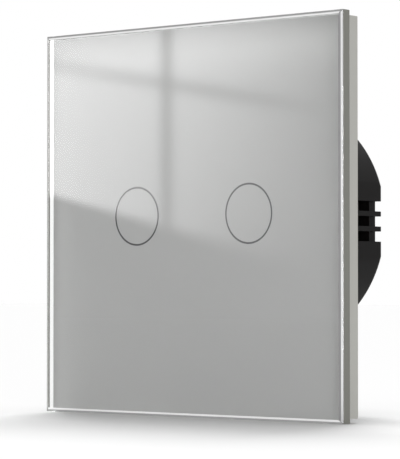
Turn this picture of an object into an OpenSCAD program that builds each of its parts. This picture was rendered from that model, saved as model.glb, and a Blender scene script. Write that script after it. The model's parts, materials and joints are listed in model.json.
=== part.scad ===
// Two-gang touch light switch for a round wall box.
// X runs to the right, Y runs back into the wall and Z runs up.
// The origin is the middle of the wall plane, on the rear of the mounting bracket.

/* [Glass panel] */
// Width and height of the square glass panel
panel_size = 80; // [78:0.5:90]
// Thickness of the glass
glass_t = 3.2; // [2.6:0.1:5]
// Width of the ground bevel round the front edge
bevel_w = 0.9; // [0.3:0.1:1.5]
// Depth of the ground bevel
bevel_d = 0.5; // [0.2:0.1:1]
// Chamfer round the rear edge of the glass
rear_chamfer = 0.65; // [0.2:0.05:0.8]
// Thickness of the printed film
film_t = 0.15; // [0.1:0.05:0.4]
// Bare margin of the film inside the rear chamfer
film_margin = 0.1; // [0.05:0.05:0.5]

/* [Touch marks] */
// Distance between the centres of the two touch circles
mark_spacing = 30.2; // [26:0.2:30.4]
// Height of the circles above the middle of the panel
mark_lift = 1.1; // [-2:0.1:3]
// Diameter of a printed circle
mark_d = 11.9; // [10:0.1:12.2]
// Width of the printed line
mark_line = 0.36; // [0.2:0.02:0.8]

/* [Surround frame] */
// Depth of the frame behind the bond tape
frame_depth = 3; // [2.4:0.1:6]
// How far the frame is set in from the edge of the glass
frame_inset = 0.85; // [0.6:0.05:1.5]
// Thickness of the frame wall
frame_wall = 1.6; // [1.2:0.1:2.2]
// Chamfer on the outer rear edge of the frame
frame_chamfer = 0.3; // [0.1:0.05:0.6]
// Thickness of the bond tape
tape_t = 0.15; // [0.1:0.05:0.5]
// Margin of the tape inside the frame wall
tape_margin = 0.15; // [0.05:0.05:0.4]
// Width of the prising notch in the lower wall of the frame
notch_w = 8; // [4:0.5:16]
// Height of the prising notch
notch_d = 1; // [0.5:0.1:1.6]

/* [Snap clips] */
// Width of one clip
clip_w = 5; // [3:0.5:8]
// Distance between the two clips on one wall
clip_spacing = 36; // [24:1:50]
// Reach of the clip's hook behind the bracket
clip_reach = 0.8; // [0.4:0.1:1.5]
// Thickness of the clip's hook
hook_t = 0.35; // [0.25:0.05:0.4]
// Clearance round the hook
hook_clear = 0.1; // [0.05:0.05:0.15]

/* [Mounting bracket] */
// Gap between the bracket's edge and the inner wall of the frame
bracket_gap = 0.75; // [0.6:0.05:1.5]
// Thickness of the bracket
bracket_t = 1; // [0.8:0.1:1.2]
// Radius of the bracket's corners
bracket_corner = 4; // [1:0.5:8]
// Distance between the two wall-box screws
slot_spacing = 60; // [59:0.5:62]
// Width of a screw slot
slot_w = 3.6; // [3.2:0.1:4.2]
// Length of a screw slot
slot_l = 5; // [4:0.5:6]

/* [Rear housing] */
// Diameter of the housing
housing_d = 49.2; // [48.8:0.1:52]
// Width of the housing across its two flats
housing_flat = 47; // [46.6:0.1:48]
// Depth of the housing behind the wall plane
housing_depth = 28.8; // [28.4:0.1:40]
// Thickness of the side wall
wall_t = 1.5; // [1.2:0.1:1.7]
// Thickness of the rear wall
rear_wall_t = 2.1; // [1:0.1:2.4]
// Rounding of the rear edge
rear_round = 1.2; // [0.5:0.1:1.4]
// Thickness of the flange in front of the bracket
flange_t = 0.8; // [0.6:0.1:0.9]
// Width of the flange round the side wall
flange_w = 1.4; // [0.8:0.1:1.6]
// Radius of the four screw ears of the flange
ear_r = 3; // [2.6:0.1:3.4]
// Clearance between the housing and the bracket's hole
housing_clear = 0.25; // [0.1:0.05:0.5]
// Width of the seat for the front cover in the mouth
mouth_step = 0.7; // [0.5:0.1:0.9]

/* [Vents] */
// Number of vent slots in each flat
vent_count = 3; // [1:1:3]
// Width of a vent slot
vent_w = 2.1; // [1:0.1:2.6]
// Distance between the middles of two slots
vent_pitch = 3.12; // [2.9:0.02:4]
// Length of a slot from the rear face
vent_l = 12; // [8:0.5:13]
// Depth of a slot in from the flat, past the side wall
vent_d = 2.1; // [1.8:0.1:3]

/* [Boards] */
// Thickness of the front cover
cover_t = 1.2; // [1:0.1:1.6]
// Clearance round the front cover
cover_clear = 0.15; // [0.1:0.05:0.3]
// Space between the front cover and the touch board
touch_gap = 2; // [1.6:0.1:3]
// Thickness of the touch board
touch_board_t = 1.2; // [0.8:0.1:1.6]
// Space between the power board and the rear wall
rear_room = 13.2; // [13:0.1:14.5]
// Thickness of the power board
power_board_t = 1.4; // [1:0.1:1.6]
// Clearance between the boards and the housing
board_clear = 0.4; // [0.2:0.05:0.45]
// Radius of the four pillars in the housing
pillar_r = 2; // [1.8:0.1:2.3]
// Radius of the board screws
board_screw_r = 0.9; // [0.7:0.05:1]
// Depth of the board screws in the pillars
board_screw_grip = 4; // [2:0.5:6]
// Radial clearance of a screw in its hole
screw_clear = 0.05; // [0.03:0.01:0.1]

/* [Touch keys] */
// Mean radius of a touch spring
spring_r = 3.6; // [3:0.1:4.2]
// Thickness of the spring wire
spring_wire = 0.5; // [0.3:0.05:0.6]
// Number of curls of a touch spring
spring_curls = 3; // [2:1:3]
// Wall of a light tube
tube_wall = 0.9; // [0.6:0.1:1]
// Gap between a light tube and the film
tube_gap = 0.25; // [0.1:0.05:0.4]
// Width of an indicator lamp
lamp_w = 3.2; // [2:0.1:3.6]
// Height of an indicator lamp
lamp_h = 0.9; // [0.5:0.1:1.2]

/* [Relays] */
// Width of a relay
relay_w = 10.1; // [9:0.1:10.4]
// Length of a relay
relay_l = 17.6; // [17:0.1:18]
// Height of a relay
relay_h = 12.2; // [11.5:0.1:12.6]
// Distance between the middles of the two relays
relay_spacing = 12.4; // [11.2:0.1:12.8]
// Height of the relays' middle above the axis of the housing
relay_z = 9.8; // [9.4:0.1:10]
// Wall of a relay case
case_wall = 0.6; // [0.4:0.05:0.7]
// Tilt of the armature when the coil is powered, in degrees
armature_tilt = 5; // [2:0.5:6]

/* [Terminals] */
// Distance between two poles
pole_pitch = 7.62; // [7.4:0.02:7.7]
// Radius of a wire entry
wire_r = 1.5; // [1:0.05:1.6]
// Travel of a clamp cage
cage_rise = 1.8; // [1:0.1:1.9]
// Radius of a terminal screw
clamp_screw_r = 1.25; // [1:0.05:1.4]
// Radius of a terminal screw's head
clamp_head_r = 2; // [1.7:0.1:2.2]
// Radius of the driver holes in the rear wall
driver_hole_r = 1.8; // [1.2:0.1:1.9]

/* [Hidden] */
$fn = 64;

// Cuts run this far past the faces that they open
cut = 1;

// Places along Y, from the glass back to the rear wall
y_frame = -frame_depth;
y_tape = y_frame - tape_t;
y_film = y_tape - film_t;
y_glass = y_film - glass_t;
y_flange = -bracket_t - flange_t;
y_cover_rear = y_flange + cover_t;
y_touch = y_cover_rear + touch_gap;
y_touch_rear = y_touch + touch_board_t;
y_rear_inner = housing_depth - rear_wall_t;
y_power_rear = y_rear_inner - rear_room;
y_power = y_power_rear - power_board_t;

// Half widths and radii that pieces share
frame_half = panel_size / 2 - frame_inset;
frame_inner_half = frame_half - frame_wall;
bracket_half = frame_inner_half - bracket_gap;
housing_r = housing_d / 2;
flat_half = housing_flat / 2;
bore_r = housing_r - wall_t;
bore_flat = flat_half - wall_t;
board_r = bore_r - board_clear;
board_flat = bore_flat - board_clear;
flange_r = housing_r + flange_w;
mark_r = mark_d / 2;
mark_x = mark_spacing / 2;
sides = [-1, 1];

// The flange's screws, on the diagonals just outside the housing
ear_at = (housing_r + ear_r) / sqrt(2);
flange_screw_r = 1.25;
flange_head_r = 2.1;
flange_head_t = 0.55;
flange_screw_end = 0.1;

// The pillars, sunk a little into the side wall so that they are one piece with it
pillar_sink = 0.1;
pillar_at = (bore_r - pillar_r + pillar_sink) / sqrt(2);
board_head_r = 1.7;
board_head_t = 0.9;
spacer_r = 1.8;
pillar_bore_spare = 0.5;

// Light tubes and springs
tube_r = mark_r + tube_wall / 2;
tube_clear = 0.15;
spring_seat = 0.05;
spring_rings = 8;
spring_faces = 6;

// Relay parts
relay_x = relay_spacing / 2;
relay_base_t = 1;
relay_end = relay_l / 2 - case_wall;
part_gap = 0.3;
yoke_t = 1.1;
yoke_half = 3.4;
armature_t = 0.8;
armature_half = 3.2;
pivot_gap = 0.05;
bead_r = 0.35;
coil_half = 3.5;
winding_r = 3.1;
bobbin_flange = 0.6;
core_r = 1.5;
rivet_r = 1;
rivet_h = 0.5;
contact_t = 1;
contact_half = 1.5;
contact_gap = 0.12;
armature_room = 0.6;
tip_gap = 1;
contact_setback = 1.6;
y_relay_base = y_power_rear + relay_base_t;
y_relay_top = y_power_rear + relay_h;
y_armature = y_relay_top - case_wall - armature_room - armature_t;
y_yoke = y_armature - pivot_gap;
z_yoke = relay_z + relay_end - part_gap;
z_pivot = z_yoke - yoke_t;
z_coil = z_pivot - part_gap - coil_half;
z_tip = relay_z - relay_end + tip_gap;
z_contact = z_tip + contact_setback;
pole_drop = (z_pivot - z_coil + core_r) * sin(armature_tilt);
contact_drop = (z_pivot - z_contact + rivet_r) * sin(armature_tilt);
y_pole = y_armature - pole_drop - part_gap;
y_contact = y_armature - rivet_h - contact_drop - contact_gap;

// Terminal parts, placed from the rear of the block
poles = [-pole_pitch, 0, pole_pitch];
block_gap = 0.2;
block_wall = 1.1;
floor_wall = 2;
cage_w = 5.2;
cage_l = 6.2;
cage_wall = 0.7;
cage_end = 1;
cage_side_gap = 0.3;
cage_floor_gap = 0.4;
shoulder_t = 0.8;
head_pocket = 1.5;
head_t = 1.2;
head_gap = 0.05;
head_side_gap = 0.2;
head_slot = 0.6;
bus_t = 1;
bus_gap = 0.2;
bus_clear = 0.1;
bus_leg_gap = 0.6;
wire_room = 0.8;
cage_head_gap = 0.5;
z_pole = -15.5;
cavity_half = cage_w / 2 + cage_side_gap;
cavity_l = cage_l / 2 + cage_floor_gap;
block_half = pole_pitch + cavity_half + block_wall;
z_block_low = z_pole - cavity_l - floor_wall;
z_block_high = z_pole + cavity_l + floor_wall;
y_block_rear = y_rear_inner - block_gap;
y_shoulder = y_block_rear - head_pocket;
y_cavity_rear = y_shoulder - shoulder_t;
y_cavity = y_power_rear + block_wall;
cage_window = 2 * wire_r + wire_room + bus_t;
y_cage_rear = y_cavity_rear - cage_head_gap - cage_rise;
y_window_rear = y_cage_rear - cage_end;
y_window = y_window_rear - cage_window;
y_cage = y_window - cage_end;
y_bus_rear = y_window_rear - bus_gap;
y_bus = y_bus_rear - bus_t;
y_wire = (y_window + y_bus) / 2;
bus_half = cage_w / 2 - cage_wall - cage_side_gap;
z_bus_leg = z_pole + cavity_l + bus_leg_gap;
window_clear = 0.3;

// Loose parts on the power board: middle in X and Z, then sizes
can_at = [-16.6, 6];
can_r = 4;
can_h = 11.5;
film_cap_at = [16.4, 3];
film_cap_size = [6, 13];
film_cap_h = 10;
choke_at = [-14.5, -5];
choke_r = 4;
choke_h = 8;
choke_flange = 1;
choke_core_r = 2;
choke_wire_r = 3.5;
varistor_at = [-5, -5];
varistor_r = 3.4;
varistor_t = 3.6;
fuse_at = [5.5, -5];
fuse_r = 2.2;
fuse_half = 4.2;
fuse_cap_l = 1.8;
fuse_waist = 0.25;
lead_r = 0.35;
lead_stand = 1;

// Chips: width, length and height of the body, and their legs
touch_chip = [7, 4.4, 1.3];
touch_chip_at = [0, 7];
driver_chip = [5, 4, 1.4];
driver_chip_at = [8, 5];
rectifier_chip = [6.4, 6.2, 2.4];
rectifier_at = [-8, 5];
leg_w = 0.4;
leg_t = 0.2;
leg_foot = 0.8;
chip_stand = 0.1;

// Header between the boards
pin_count = 6;
pin_pitch = 2;
pin_w = 0.5;
pin_clear = 0.1;
header_z = -8;
header_w = 2.4;
header_end = 1;
strip_h = 1.5;
socket_h = 5;
pin_grip = 3;

// Colours of the finishes
glass_green = [0.62, 0.68, 0.64, 0.6];
film_grey = [0.6, 0.6, 0.6];
line_grey = [0.42, 0.42, 0.43];
frame_grey = [0.66, 0.66, 0.64];
tape_white = [0.9, 0.9, 0.88];
steel = [0.72, 0.73, 0.74];
black = [0.09, 0.09, 0.09];
board_green = [0.12, 0.36, 0.2];
chip_black = [0.14, 0.14, 0.15];
gold = [0.83, 0.68, 0.35];
copper = [0.72, 0.42, 0.22];
clear_plastic = [0.9, 0.92, 0.92, 0.7];
relay_blue = [0.16, 0.3, 0.62];
block_green = [0.2, 0.45, 0.3];
brass = [0.8, 0.66, 0.36];
capacitor_red = [0.75, 0.2, 0.16];
varistor_blue = [0.2, 0.35, 0.65];

// Extrudes an outline drawn in X and Z along Y
module along_y(y, length) {
    translate([0, y + length, 0])
        rotate([90, 0, 0])
            linear_extrude(length)
                children();
}

// Extrudes an outline drawn in Y and Z along X
module along_x(x, length) {
    translate([x, 0, 0])
        rotate([90, 0, 90])
            linear_extrude(length)
                children();
}

// Extrudes an outline drawn in X and Y along Z
module along_z(z, length) {
    translate([0, 0, z])
        linear_extrude(length)
            children();
}

// Turns an outline drawn in radius and Y round the Y axis through a point in X and Z
module turned(at) {
    translate([at[0], 0, at[1]])
        rotate([-90, 0, 0])
            rotate_extrude()
                children();
}

// A round bar along Y
module bar_y(at, y, length, r) {
    along_y(y, length)
        translate(at)
            circle(r);
}

// A block between two corners
module block(low, high) {
    translate(low)
        cube(high - low);
}

// A disc with a flat on each side
module flatted_disc(r, half) {
    intersection() {
        circle(r);
        square([2 * half, 3 * r], center = true);
    }
}

// A square plate whose front and rear edges are bevelled all round, as a profile swept two ways
module bevelled_plate(half, y, t, front_w, front_d, rear_w, rear_d) {
    profile = [
        [y, half - front_w], [y + front_d, half], [y + t - rear_d, half], [y + t, half - rear_w],
        [y + t, rear_w - half], [y + t - rear_d, -half], [y + front_d, -half], [y, front_w - half]
    ];
    intersection() {
        along_x(-half, 2 * half)
            polygon(profile);
        along_z(-half, 2 * half)
            polygon([for (p = profile) [p[1], p[0]]]);
    }
}

// Puts its children at the four corners of a square in X and Z
module at_corners(distance) {
    for (sx = sides)
        for (sz = sides)
            translate([sx * distance, 0, sz * distance])
                children();
}

// Glass panel

module glass_plate() {
    color(glass_green)
        bevelled_plate(panel_size / 2, y_glass, glass_t, bevel_w, bevel_d, rear_chamfer, rear_chamfer);
}

print_gap = 0.01;

module decor_film() {
    half = panel_size / 2 - rear_chamfer - film_margin;
    color(film_grey)
        along_y(y_film, film_t)
            difference() {
                square(2 * half, center = true);
                for (side = sides)
                    translate([side * mark_x, mark_lift])
                        ring(mark_r - print_gap, mark_line + 2 * print_gap);
            }
}

// A flat ring of a given line width, drawn on its middle radius
module ring(middle_r, line) {
    difference() {
        circle(middle_r + line / 2);
        circle(middle_r - line / 2);
    }
}

module ring_mark(side) {
    color(line_grey)
        along_y(y_film, film_t)
            translate([side * mark_x, mark_lift])
                ring(mark_r - print_gap, mark_line);
}

module bond_tape() {
    color(tape_white)
        along_y(y_tape, tape_t)
            difference() {
                square(2 * (frame_half - tape_margin), center = true);
                square(2 * (frame_inner_half + tape_margin), center = true);
            }
}

module surround_frame() {
    color(frame_grey)
        difference() {
            bevelled_plate(frame_half, y_frame, frame_depth, 0, 0, frame_chamfer, frame_chamfer);
            along_y(y_frame - cut, frame_depth + 2 * cut)
                square(2 * frame_inner_half, center = true);
            block([-notch_w / 2, -notch_d, -frame_half - cut], [notch_w / 2, cut, -frame_inner_half + cut]);
        }
}

// Each clip stands on the frame's inner wall and hooks behind the edge of the bracket
module snap_clips() {
    leg_half = clip_w / 2;
    leg_z = bracket_half + hook_clear;
    hook_z = bracket_half - clip_reach;
    color(frame_grey)
        for (side = sides)
            for (end = sides)
                translate([end * clip_spacing / 2, 0, 0])
                    mirror([0, 0, side < 0 ? 1 : 0]) {
                        block([-leg_half, y_frame, leg_z], [leg_half, -hook_clear, frame_inner_half]);
                        block([-leg_half, -hook_clear - hook_t, hook_z], [leg_half, -hook_clear, leg_z]);
                    }
}

// Base that stays on the wall

module slot_outline(length, width) {
    straight = (length - width) / 2;
    square([2 * straight, width], center = true);
    for (side = sides)
        translate([side * straight, 0])
            circle(width / 2);
}

module rounded_square(half, r) {
    square([2 * half, 2 * (half - r)], center = true);
    square([2 * (half - r), 2 * half], center = true);
    for (sx = sides)
        for (sz = sides)
            translate([sx * (half - r), sz * (half - r)])
                circle(r);
}

module mounting_bracket() {
    pocket_half = clip_w / 2 + 2 * hook_clear;
    pocket_z = bracket_half - clip_reach - hook_clear;
    pocket_y = -hook_t - 2 * hook_clear;
    color(steel)
        difference() {
            along_y(-bracket_t, bracket_t)
                difference() {
                    rounded_square(bracket_half, bracket_corner);
                    flatted_disc(housing_r + housing_clear, flat_half + housing_clear);
                    for (side = sides)
                        translate([side * slot_spacing / 2, 0])
                            slot_outline(slot_l, slot_w);
                }
            at_corners(ear_at)
                bar_y([0, 0], -bracket_t - cut, bracket_t + 2 * cut, flange_screw_r + screw_clear);
            for (side = sides)
                for (end = sides)
                    translate([end * clip_spacing / 2, 0, 0])
                        mirror([0, 0, side < 0 ? 1 : 0])
                            block(
                                [-pocket_half, pocket_y, pocket_z],
                                [pocket_half, cut, bracket_half + cut]
                            );
        }
}

// The outside of the housing: a turned cup with a rounded rear edge,
// cut by two flats with the same rounding
module housing_body() {
    depth = housing_depth - y_flange;
    intersection() {
        turned([0, 0])
            translate([0, y_flange]) {
                square([housing_r - rear_round, depth]);
                square([housing_r, depth - rear_round]);
                translate([housing_r - rear_round, depth - rear_round])
                    circle(rear_round);
            }
        along_z(-housing_r - cut, 2 * (housing_r + cut)) {
            straight = flat_half - rear_round;
            translate([-straight, y_flange])
                square([2 * straight, depth]);
            translate([-flat_half, y_flange])
                square([2 * flat_half, depth - rear_round]);
            for (side = sides)
                translate([side * straight, housing_depth - rear_round])
                    circle(rear_round);
        }
    }
}

module housing_flange() {
    along_y(y_flange, flange_t) {
        circle(flange_r);
        for (sx = sides)
            for (sz = sides)
                translate([sx * ear_at, sz * ear_at])
                    circle(ear_r);
    }
}

// Slots through each flat, open at the rear face
module vent_slots() {
    for (side = sides)
        mirror([side < 0 ? 1 : 0, 0, 0])
            for (i = [0 : vent_count - 1])
                translate([0, 0, (i - (vent_count - 1) / 2) * vent_pitch])
                    block(
                        [flat_half - vent_d, housing_depth - vent_l, -vent_w / 2],
                        [flat_half + cut, housing_depth + cut, vent_w / 2]
                    );
}

// The window below the terminals, where the wires come in
module wire_window() {
    block(
        [-block_half - window_clear, y_power_rear - window_clear, -housing_r - cut],
        [block_half + window_clear, y_rear_inner, z_block_low + floor_wall]
    );
}

module rear_housing() {
    color(black)
        difference() {
            union() {
                difference() {
                    union() {
                        housing_body();
                        housing_flange();
                    }
                    along_y(y_flange, y_rear_inner - y_flange)
                        flatted_disc(bore_r, bore_flat);
                    along_y(y_flange - cut, cover_t + cut)
                        flatted_disc(bore_r + mouth_step, bore_flat + mouth_step);
                }
                at_corners(pillar_at)
                    bar_y([0, 0], y_power_rear, y_rear_inner - y_power_rear, pillar_r);
            }
            at_corners(pillar_at)
                bar_y(
                    [0, 0], y_power_rear - cut,
                    cut + board_screw_grip + pillar_bore_spare, board_screw_r + screw_clear
                );
            at_corners(ear_at)
                bar_y([0, 0], y_flange - cut, flange_t + 2 * cut, flange_screw_r + screw_clear);
            vent_slots();
            wire_window();
            for (x = poles)
                bar_y([x, z_pole], y_rear_inner - cut, rear_wall_t + 2 * cut, driver_hole_r);
        }
}

// A low screw along Y with a slotted head towards the front
module front_screw(y_head, head_r, head_t, shank_r, y_end) {
    slot_w = head_r / 3;
    difference() {
        union() {
            bar_y([0, 0], y_head, head_t, head_r);
            bar_y([0, 0], y_head + head_t, y_end - y_head - head_t, shank_r);
        }
        block([-head_r, y_head - cut, -slot_w / 2], [head_r, y_head + head_t / 2, slot_w / 2]);
    }
}

module housing_screws() {
    color(steel)
        at_corners(ear_at)
            front_screw(
                y_flange - flange_head_t, flange_head_r, flange_head_t,
                flange_screw_r, -flange_screw_end
            );
}

module front_cover() {
    color(black)
        along_y(y_flange, cover_t)
            difference() {
                flatted_disc(bore_r + mouth_step - cover_clear, bore_flat + mouth_step - cover_clear);
                for (side = sides)
                    translate([side * mark_x, mark_lift])
                        circle(tube_r + tube_clear);
            }
}

// A printed board with holes for the four board screws
module board(y, t) {
    along_y(y, t)
        difference() {
            flatted_disc(board_r, board_flat);
            for (sx = sides)
                for (sz = sides)
                    translate([sx * pillar_at, sz * pillar_at])
                        circle(board_screw_r + 2 * screw_clear);
        }
}

module touch_board() {
    color(board_green)
        board(y_touch, touch_board_t);
}

module power_board() {
    color(board_green)
        board(y_power, power_board_t);
}

module board_screws() {
    color(steel)
        at_corners(pillar_at)
            front_screw(
                y_touch - board_head_t, board_head_r, board_head_t,
                board_screw_r, y_power_rear + board_screw_grip
            );
}

module board_spacers() {
    color(clear_plastic)
        at_corners(pillar_at)
            along_y(y_touch_rear, y_power - y_touch_rear)
                difference() {
                    circle(spacer_r);
                    circle(board_screw_r + 2 * screw_clear);
                }
}

// A chip on a board face at y, with a row of legs on each long side.
// Its facing is 1 towards the rear and -1 towards the front
module chip(at, y, size, legs, facing) {
    pitch = size[0] / legs;
    low = y + facing * chip_stand;
    high = y + facing * (chip_stand + size[2]);
    knee = y + facing * (chip_stand + size[2] / 2);
    translate([at[0], 0, at[1]]) {
        block([-size[0] / 2, min(low, high), -size[1] / 2], [size[0] / 2, max(low, high), size[1] / 2]);
        for (end = sides)
            for (i = [0 : legs - 1])
                translate([(i - (legs - 1) / 2) * pitch, 0, 0])
                    mirror([0, 0, end < 0 ? 1 : 0]) {
                        block(
                            [-leg_w / 2, min(y, knee), size[1] / 2],
                            [leg_w / 2, max(y, knee), size[1] / 2 + leg_t]
                        );
                        block(
                            [-leg_w / 2, min(y, y + facing * leg_t), size[1] / 2],
                            [leg_w / 2, max(y, y + facing * leg_t), size[1] / 2 + leg_foot]
                        );
                    }
    }
}

touch_legs = 8;
driver_legs = 4;
rectifier_legs = 2;

module touch_chip() {
    color(chip_black)
        chip(touch_chip_at, y_touch_rear, touch_chip, touch_legs, 1);
}

module driver_chip() {
    color(chip_black)
        chip(driver_chip_at, y_power, driver_chip, driver_legs, -1);
}

module rectifier() {
    color(chip_black)
        chip(rectifier_at, y_power, rectifier_chip, rectifier_legs, -1);
}

// Touch keys

spring_low = y_touch - spring_wire / 2 - spring_seat;
spring_high = y_tape + spring_wire / 2 + spring_seat;
spring_steps = spring_curls * spring_rings;

function spring_angle(i) = 360 * i / spring_rings;
function spring_y(i) = spring_low + (spring_high - spring_low) * i / spring_steps;
function spring_point(i) =
    [spring_r * cos(spring_angle(i)), spring_y(i), spring_r * sin(spring_angle(i))];
function spring_ring(i) = [
    for (s = [0 : spring_faces - 1])
        let (a = 360 * s / spring_faces, out = spring_r + spring_wire / 2 * cos(a))
            [out * cos(spring_angle(i)), spring_y(i) + spring_wire / 2 * sin(a), out * sin(spring_angle(i))]
];

// Least distance between one curl and the next, less the wire
spring_self_gap = min([
    for (i = [0 : spring_steps])
        for (j = [i + spring_rings / 2 : 1 : spring_steps])
            norm(spring_point(i) - spring_point(j))
]) - spring_wire;
echo(spring_self_gap = spring_self_gap);

// One unbroken wire, wound round the Y axis
module touch_spring(side) {
    n = spring_faces;
    points = [for (i = [0 : spring_steps]) each spring_ring(i)];
    skin = [
        for (i = [0 : spring_steps - 1])
            for (s = [0 : n - 1])
                let (a = i * n + s, b = i * n + (s + 1) % n)
                    each [[a, a + n, b + n], [a, b + n, b]]
    ];
    last = spring_steps * n;
    ends = [for (s = [1 : n - 2]) each [[0, s, s + 1], [last, last + s + 1, last + s]]];
    color(steel)
        translate([side * mark_x, 0, mark_lift])
            polyhedron(points, concat(skin, ends));
}

module light_tube(side) {
    y = y_tape + tube_gap;
    color(clear_plastic)
        along_y(y, y_touch - y)
            translate([side * mark_x, mark_lift])
                ring(mark_r, tube_wall);
}

lamp_lens_r = 1.1;
lamp_lens_h = 0.2;

module indicator_lamp(side) {
    half = lamp_w / 2;
    color(tape_white)
        translate([side * mark_x, 0, mark_lift]) {
            block([-half, y_touch - lamp_h, -half], [half, y_touch, half]);
            bar_y([0, 0], y_touch - lamp_h - lamp_lens_h, lamp_lens_h, lamp_lens_r);
        }
}

// Header between the boards

header_half = pin_count * pin_pitch / 2 + header_end;
y_socket = y_power - socket_h;

module pin_row(y, y_end, w) {
    for (i = [0 : pin_count - 1])
        translate([(i - (pin_count - 1) / 2) * pin_pitch, 0, header_z])
            block([-w / 2, y, -w / 2], [w / 2, y_end, w / 2]);
}

module header_pins() {
    color(gold) {
        block(
            [-header_half, y_touch_rear, header_z - header_w / 2],
            [header_half, y_touch_rear + strip_h, header_z + header_w / 2]
        );
        pin_row(y_touch_rear + strip_h / 2, y_socket + pin_grip, pin_w);
    }
}

module header_socket() {
    color(chip_black)
        difference() {
            block(
                [-header_half, y_socket, header_z - header_w / 2],
                [header_half, y_power, header_z + header_w / 2]
            );
            pin_row(y_socket - cut, y_socket + pin_grip + pin_clear, pin_w + 2 * pin_clear);
        }
}

// Parts on the rear of the power board

can_round = 0.6;
can_groove = 0.35;
can_groove_y = 2;

// A sleeved can with a rounded top and a groove near its foot
module bulk_capacitor() {
    color(chip_black)
        turned(can_at)
            translate([0, y_power_rear])
                difference() {
                    union() {
                        square([can_r - can_round, can_h]);
                        square([can_r, can_h - can_round]);
                        translate([can_r - can_round, can_h - can_round])
                            circle(can_round);
                    }
                    translate([can_r, can_groove_y])
                        circle(can_groove);
                    translate([-can_r, 0])
                        square([can_r, can_h]);
                }
}

module film_capacitor() {
    half = film_cap_size / 2;
    color(capacitor_red)
        translate([film_cap_at[0], 0, film_cap_at[1]])
            block([-half[0], y_power_rear, -half[1]], [half[0], y_power_rear + film_cap_h, half[1]]);
}

module choke_core() {
    color(chip_black)
        turned(choke_at)
            translate([0, y_power_rear]) {
                square([choke_r, choke_flange]);
                square([choke_core_r, choke_h]);
                translate([0, choke_h - choke_flange])
                    square([choke_r, choke_flange]);
            }
}

module choke_winding() {
    color(copper)
        bar_ring(
            choke_at, y_power_rear + choke_flange, choke_h - 2 * choke_flange,
            choke_wire_r, choke_core_r
        );
}

// A tube along Y
module bar_ring(at, y, length, r, bore) {
    along_y(y, length)
        translate(at)
            difference() {
                circle(r);
                circle(bore);
            }
}

// A coated disc that stands on two leads
module varistor() {
    y_middle = y_power_rear + lead_stand + varistor_r;
    color(varistor_blue)
        translate([varistor_at[0], 0, varistor_at[1]]) {
            along_z(-varistor_t / 2, varistor_t)
                translate([0, y_middle])
                    circle(varistor_r);
            for (side = sides)
                bar_y([side * varistor_r / 2, 0], y_power_rear, y_middle - y_power_rear, lead_r);
        }
}

// A glass tube with two end caps, lying on two leads
module fuse() {
    y_middle = y_power_rear + lead_stand + fuse_r;
    color(brass)
        translate([fuse_at[0], 0, fuse_at[1]]) {
            along_x(-fuse_half, 2 * fuse_half)
                translate([y_middle, 0])
                    circle(fuse_r - fuse_waist);
            for (side = sides) {
                along_x(side < 0 ? -fuse_half : fuse_half - fuse_cap_l, fuse_cap_l)
                    translate([y_middle, 0])
                        circle(fuse_r);
                lead_x = side * (fuse_half - fuse_cap_l / 2);
                bar_y([lead_x, 0], y_power_rear, y_middle - y_power_rear, lead_r);
            }
        }
}

// Relays, one for each circle

module relay_case(side) {
    half = relay_w / 2;
    color(relay_blue)
        translate([side * relay_x, 0, relay_z])
            difference() {
                block([-half, y_relay_base, -relay_l / 2], [half, y_relay_top, relay_l / 2]);
                block(
                    [case_wall - half, y_relay_base - cut, -relay_end],
                    [half - case_wall, y_relay_top - case_wall, relay_end]
                );
            }
}

module relay_base(side) {
    color(chip_black)
        translate([side * relay_x, 0, relay_z])
            block(
                [-relay_w / 2, y_power_rear, -relay_l / 2],
                [relay_w / 2, y_relay_base, relay_l / 2]
            );
}

// A bobbin with square ends round the core
module relay_coil(side) {
    y_low = y_relay_base + yoke_t;
    y_high = y_pole - part_gap;
    color(copper)
        translate([side * relay_x, 0, z_coil])
            difference() {
                union() {
                    bar_y([0, 0], y_low, y_high - y_low, winding_r);
                    for (y = [y_low, y_high - bobbin_flange])
                        block([-coil_half, y, -coil_half], [coil_half, y + bobbin_flange, coil_half]);
                }
                bar_y([0, 0], y_low - cut, y_high - y_low + 2 * cut, core_r + screw_clear);
            }
}

// A round bar along the axis that the armature rocks on
module pivot_bead(half, r) {
    along_x(-half, 2 * half)
        translate([y_armature, z_pivot])
            circle(r);
}

// An angle of soft iron with the core standing on its foot
module relay_yoke(side) {
    color(steel)
        translate([side * relay_x, 0, 0]) {
            block(
                [-yoke_half, y_relay_base, z_coil - coil_half],
                [yoke_half, y_relay_base + yoke_t, z_yoke]
            );
            block([-yoke_half, y_relay_base, z_pivot], [yoke_half, y_yoke, z_yoke]);
            pivot_bead(yoke_half, bead_r);
            bar_y([0, z_coil], y_relay_base, y_pole - y_relay_base, core_r);
        }
}

// The armature has a groove over the yoke's bead and carries the moving contact
module relay_armature(side) {
    color(steel)
        translate([side * relay_x, 0, 0]) {
            difference() {
                block([-armature_half, y_armature, z_tip], [armature_half, y_armature + armature_t, z_yoke]);
                pivot_bead(armature_half + cut, bead_r + pivot_gap);
            }
            bar_y([0, z_contact], y_armature - rivet_h, rivet_h, rivet_r);
        }
}

module relay_contact(side) {
    y_post = y_contact - rivet_h;
    color(copper)
        translate([side * relay_x, 0, z_contact]) {
            block([-contact_half, y_relay_base, -contact_t / 2], [contact_half, y_post, contact_t / 2]);
            bar_y([0, 0], y_post, rivet_h, rivet_r);
        }
}

// Terminals

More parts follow.
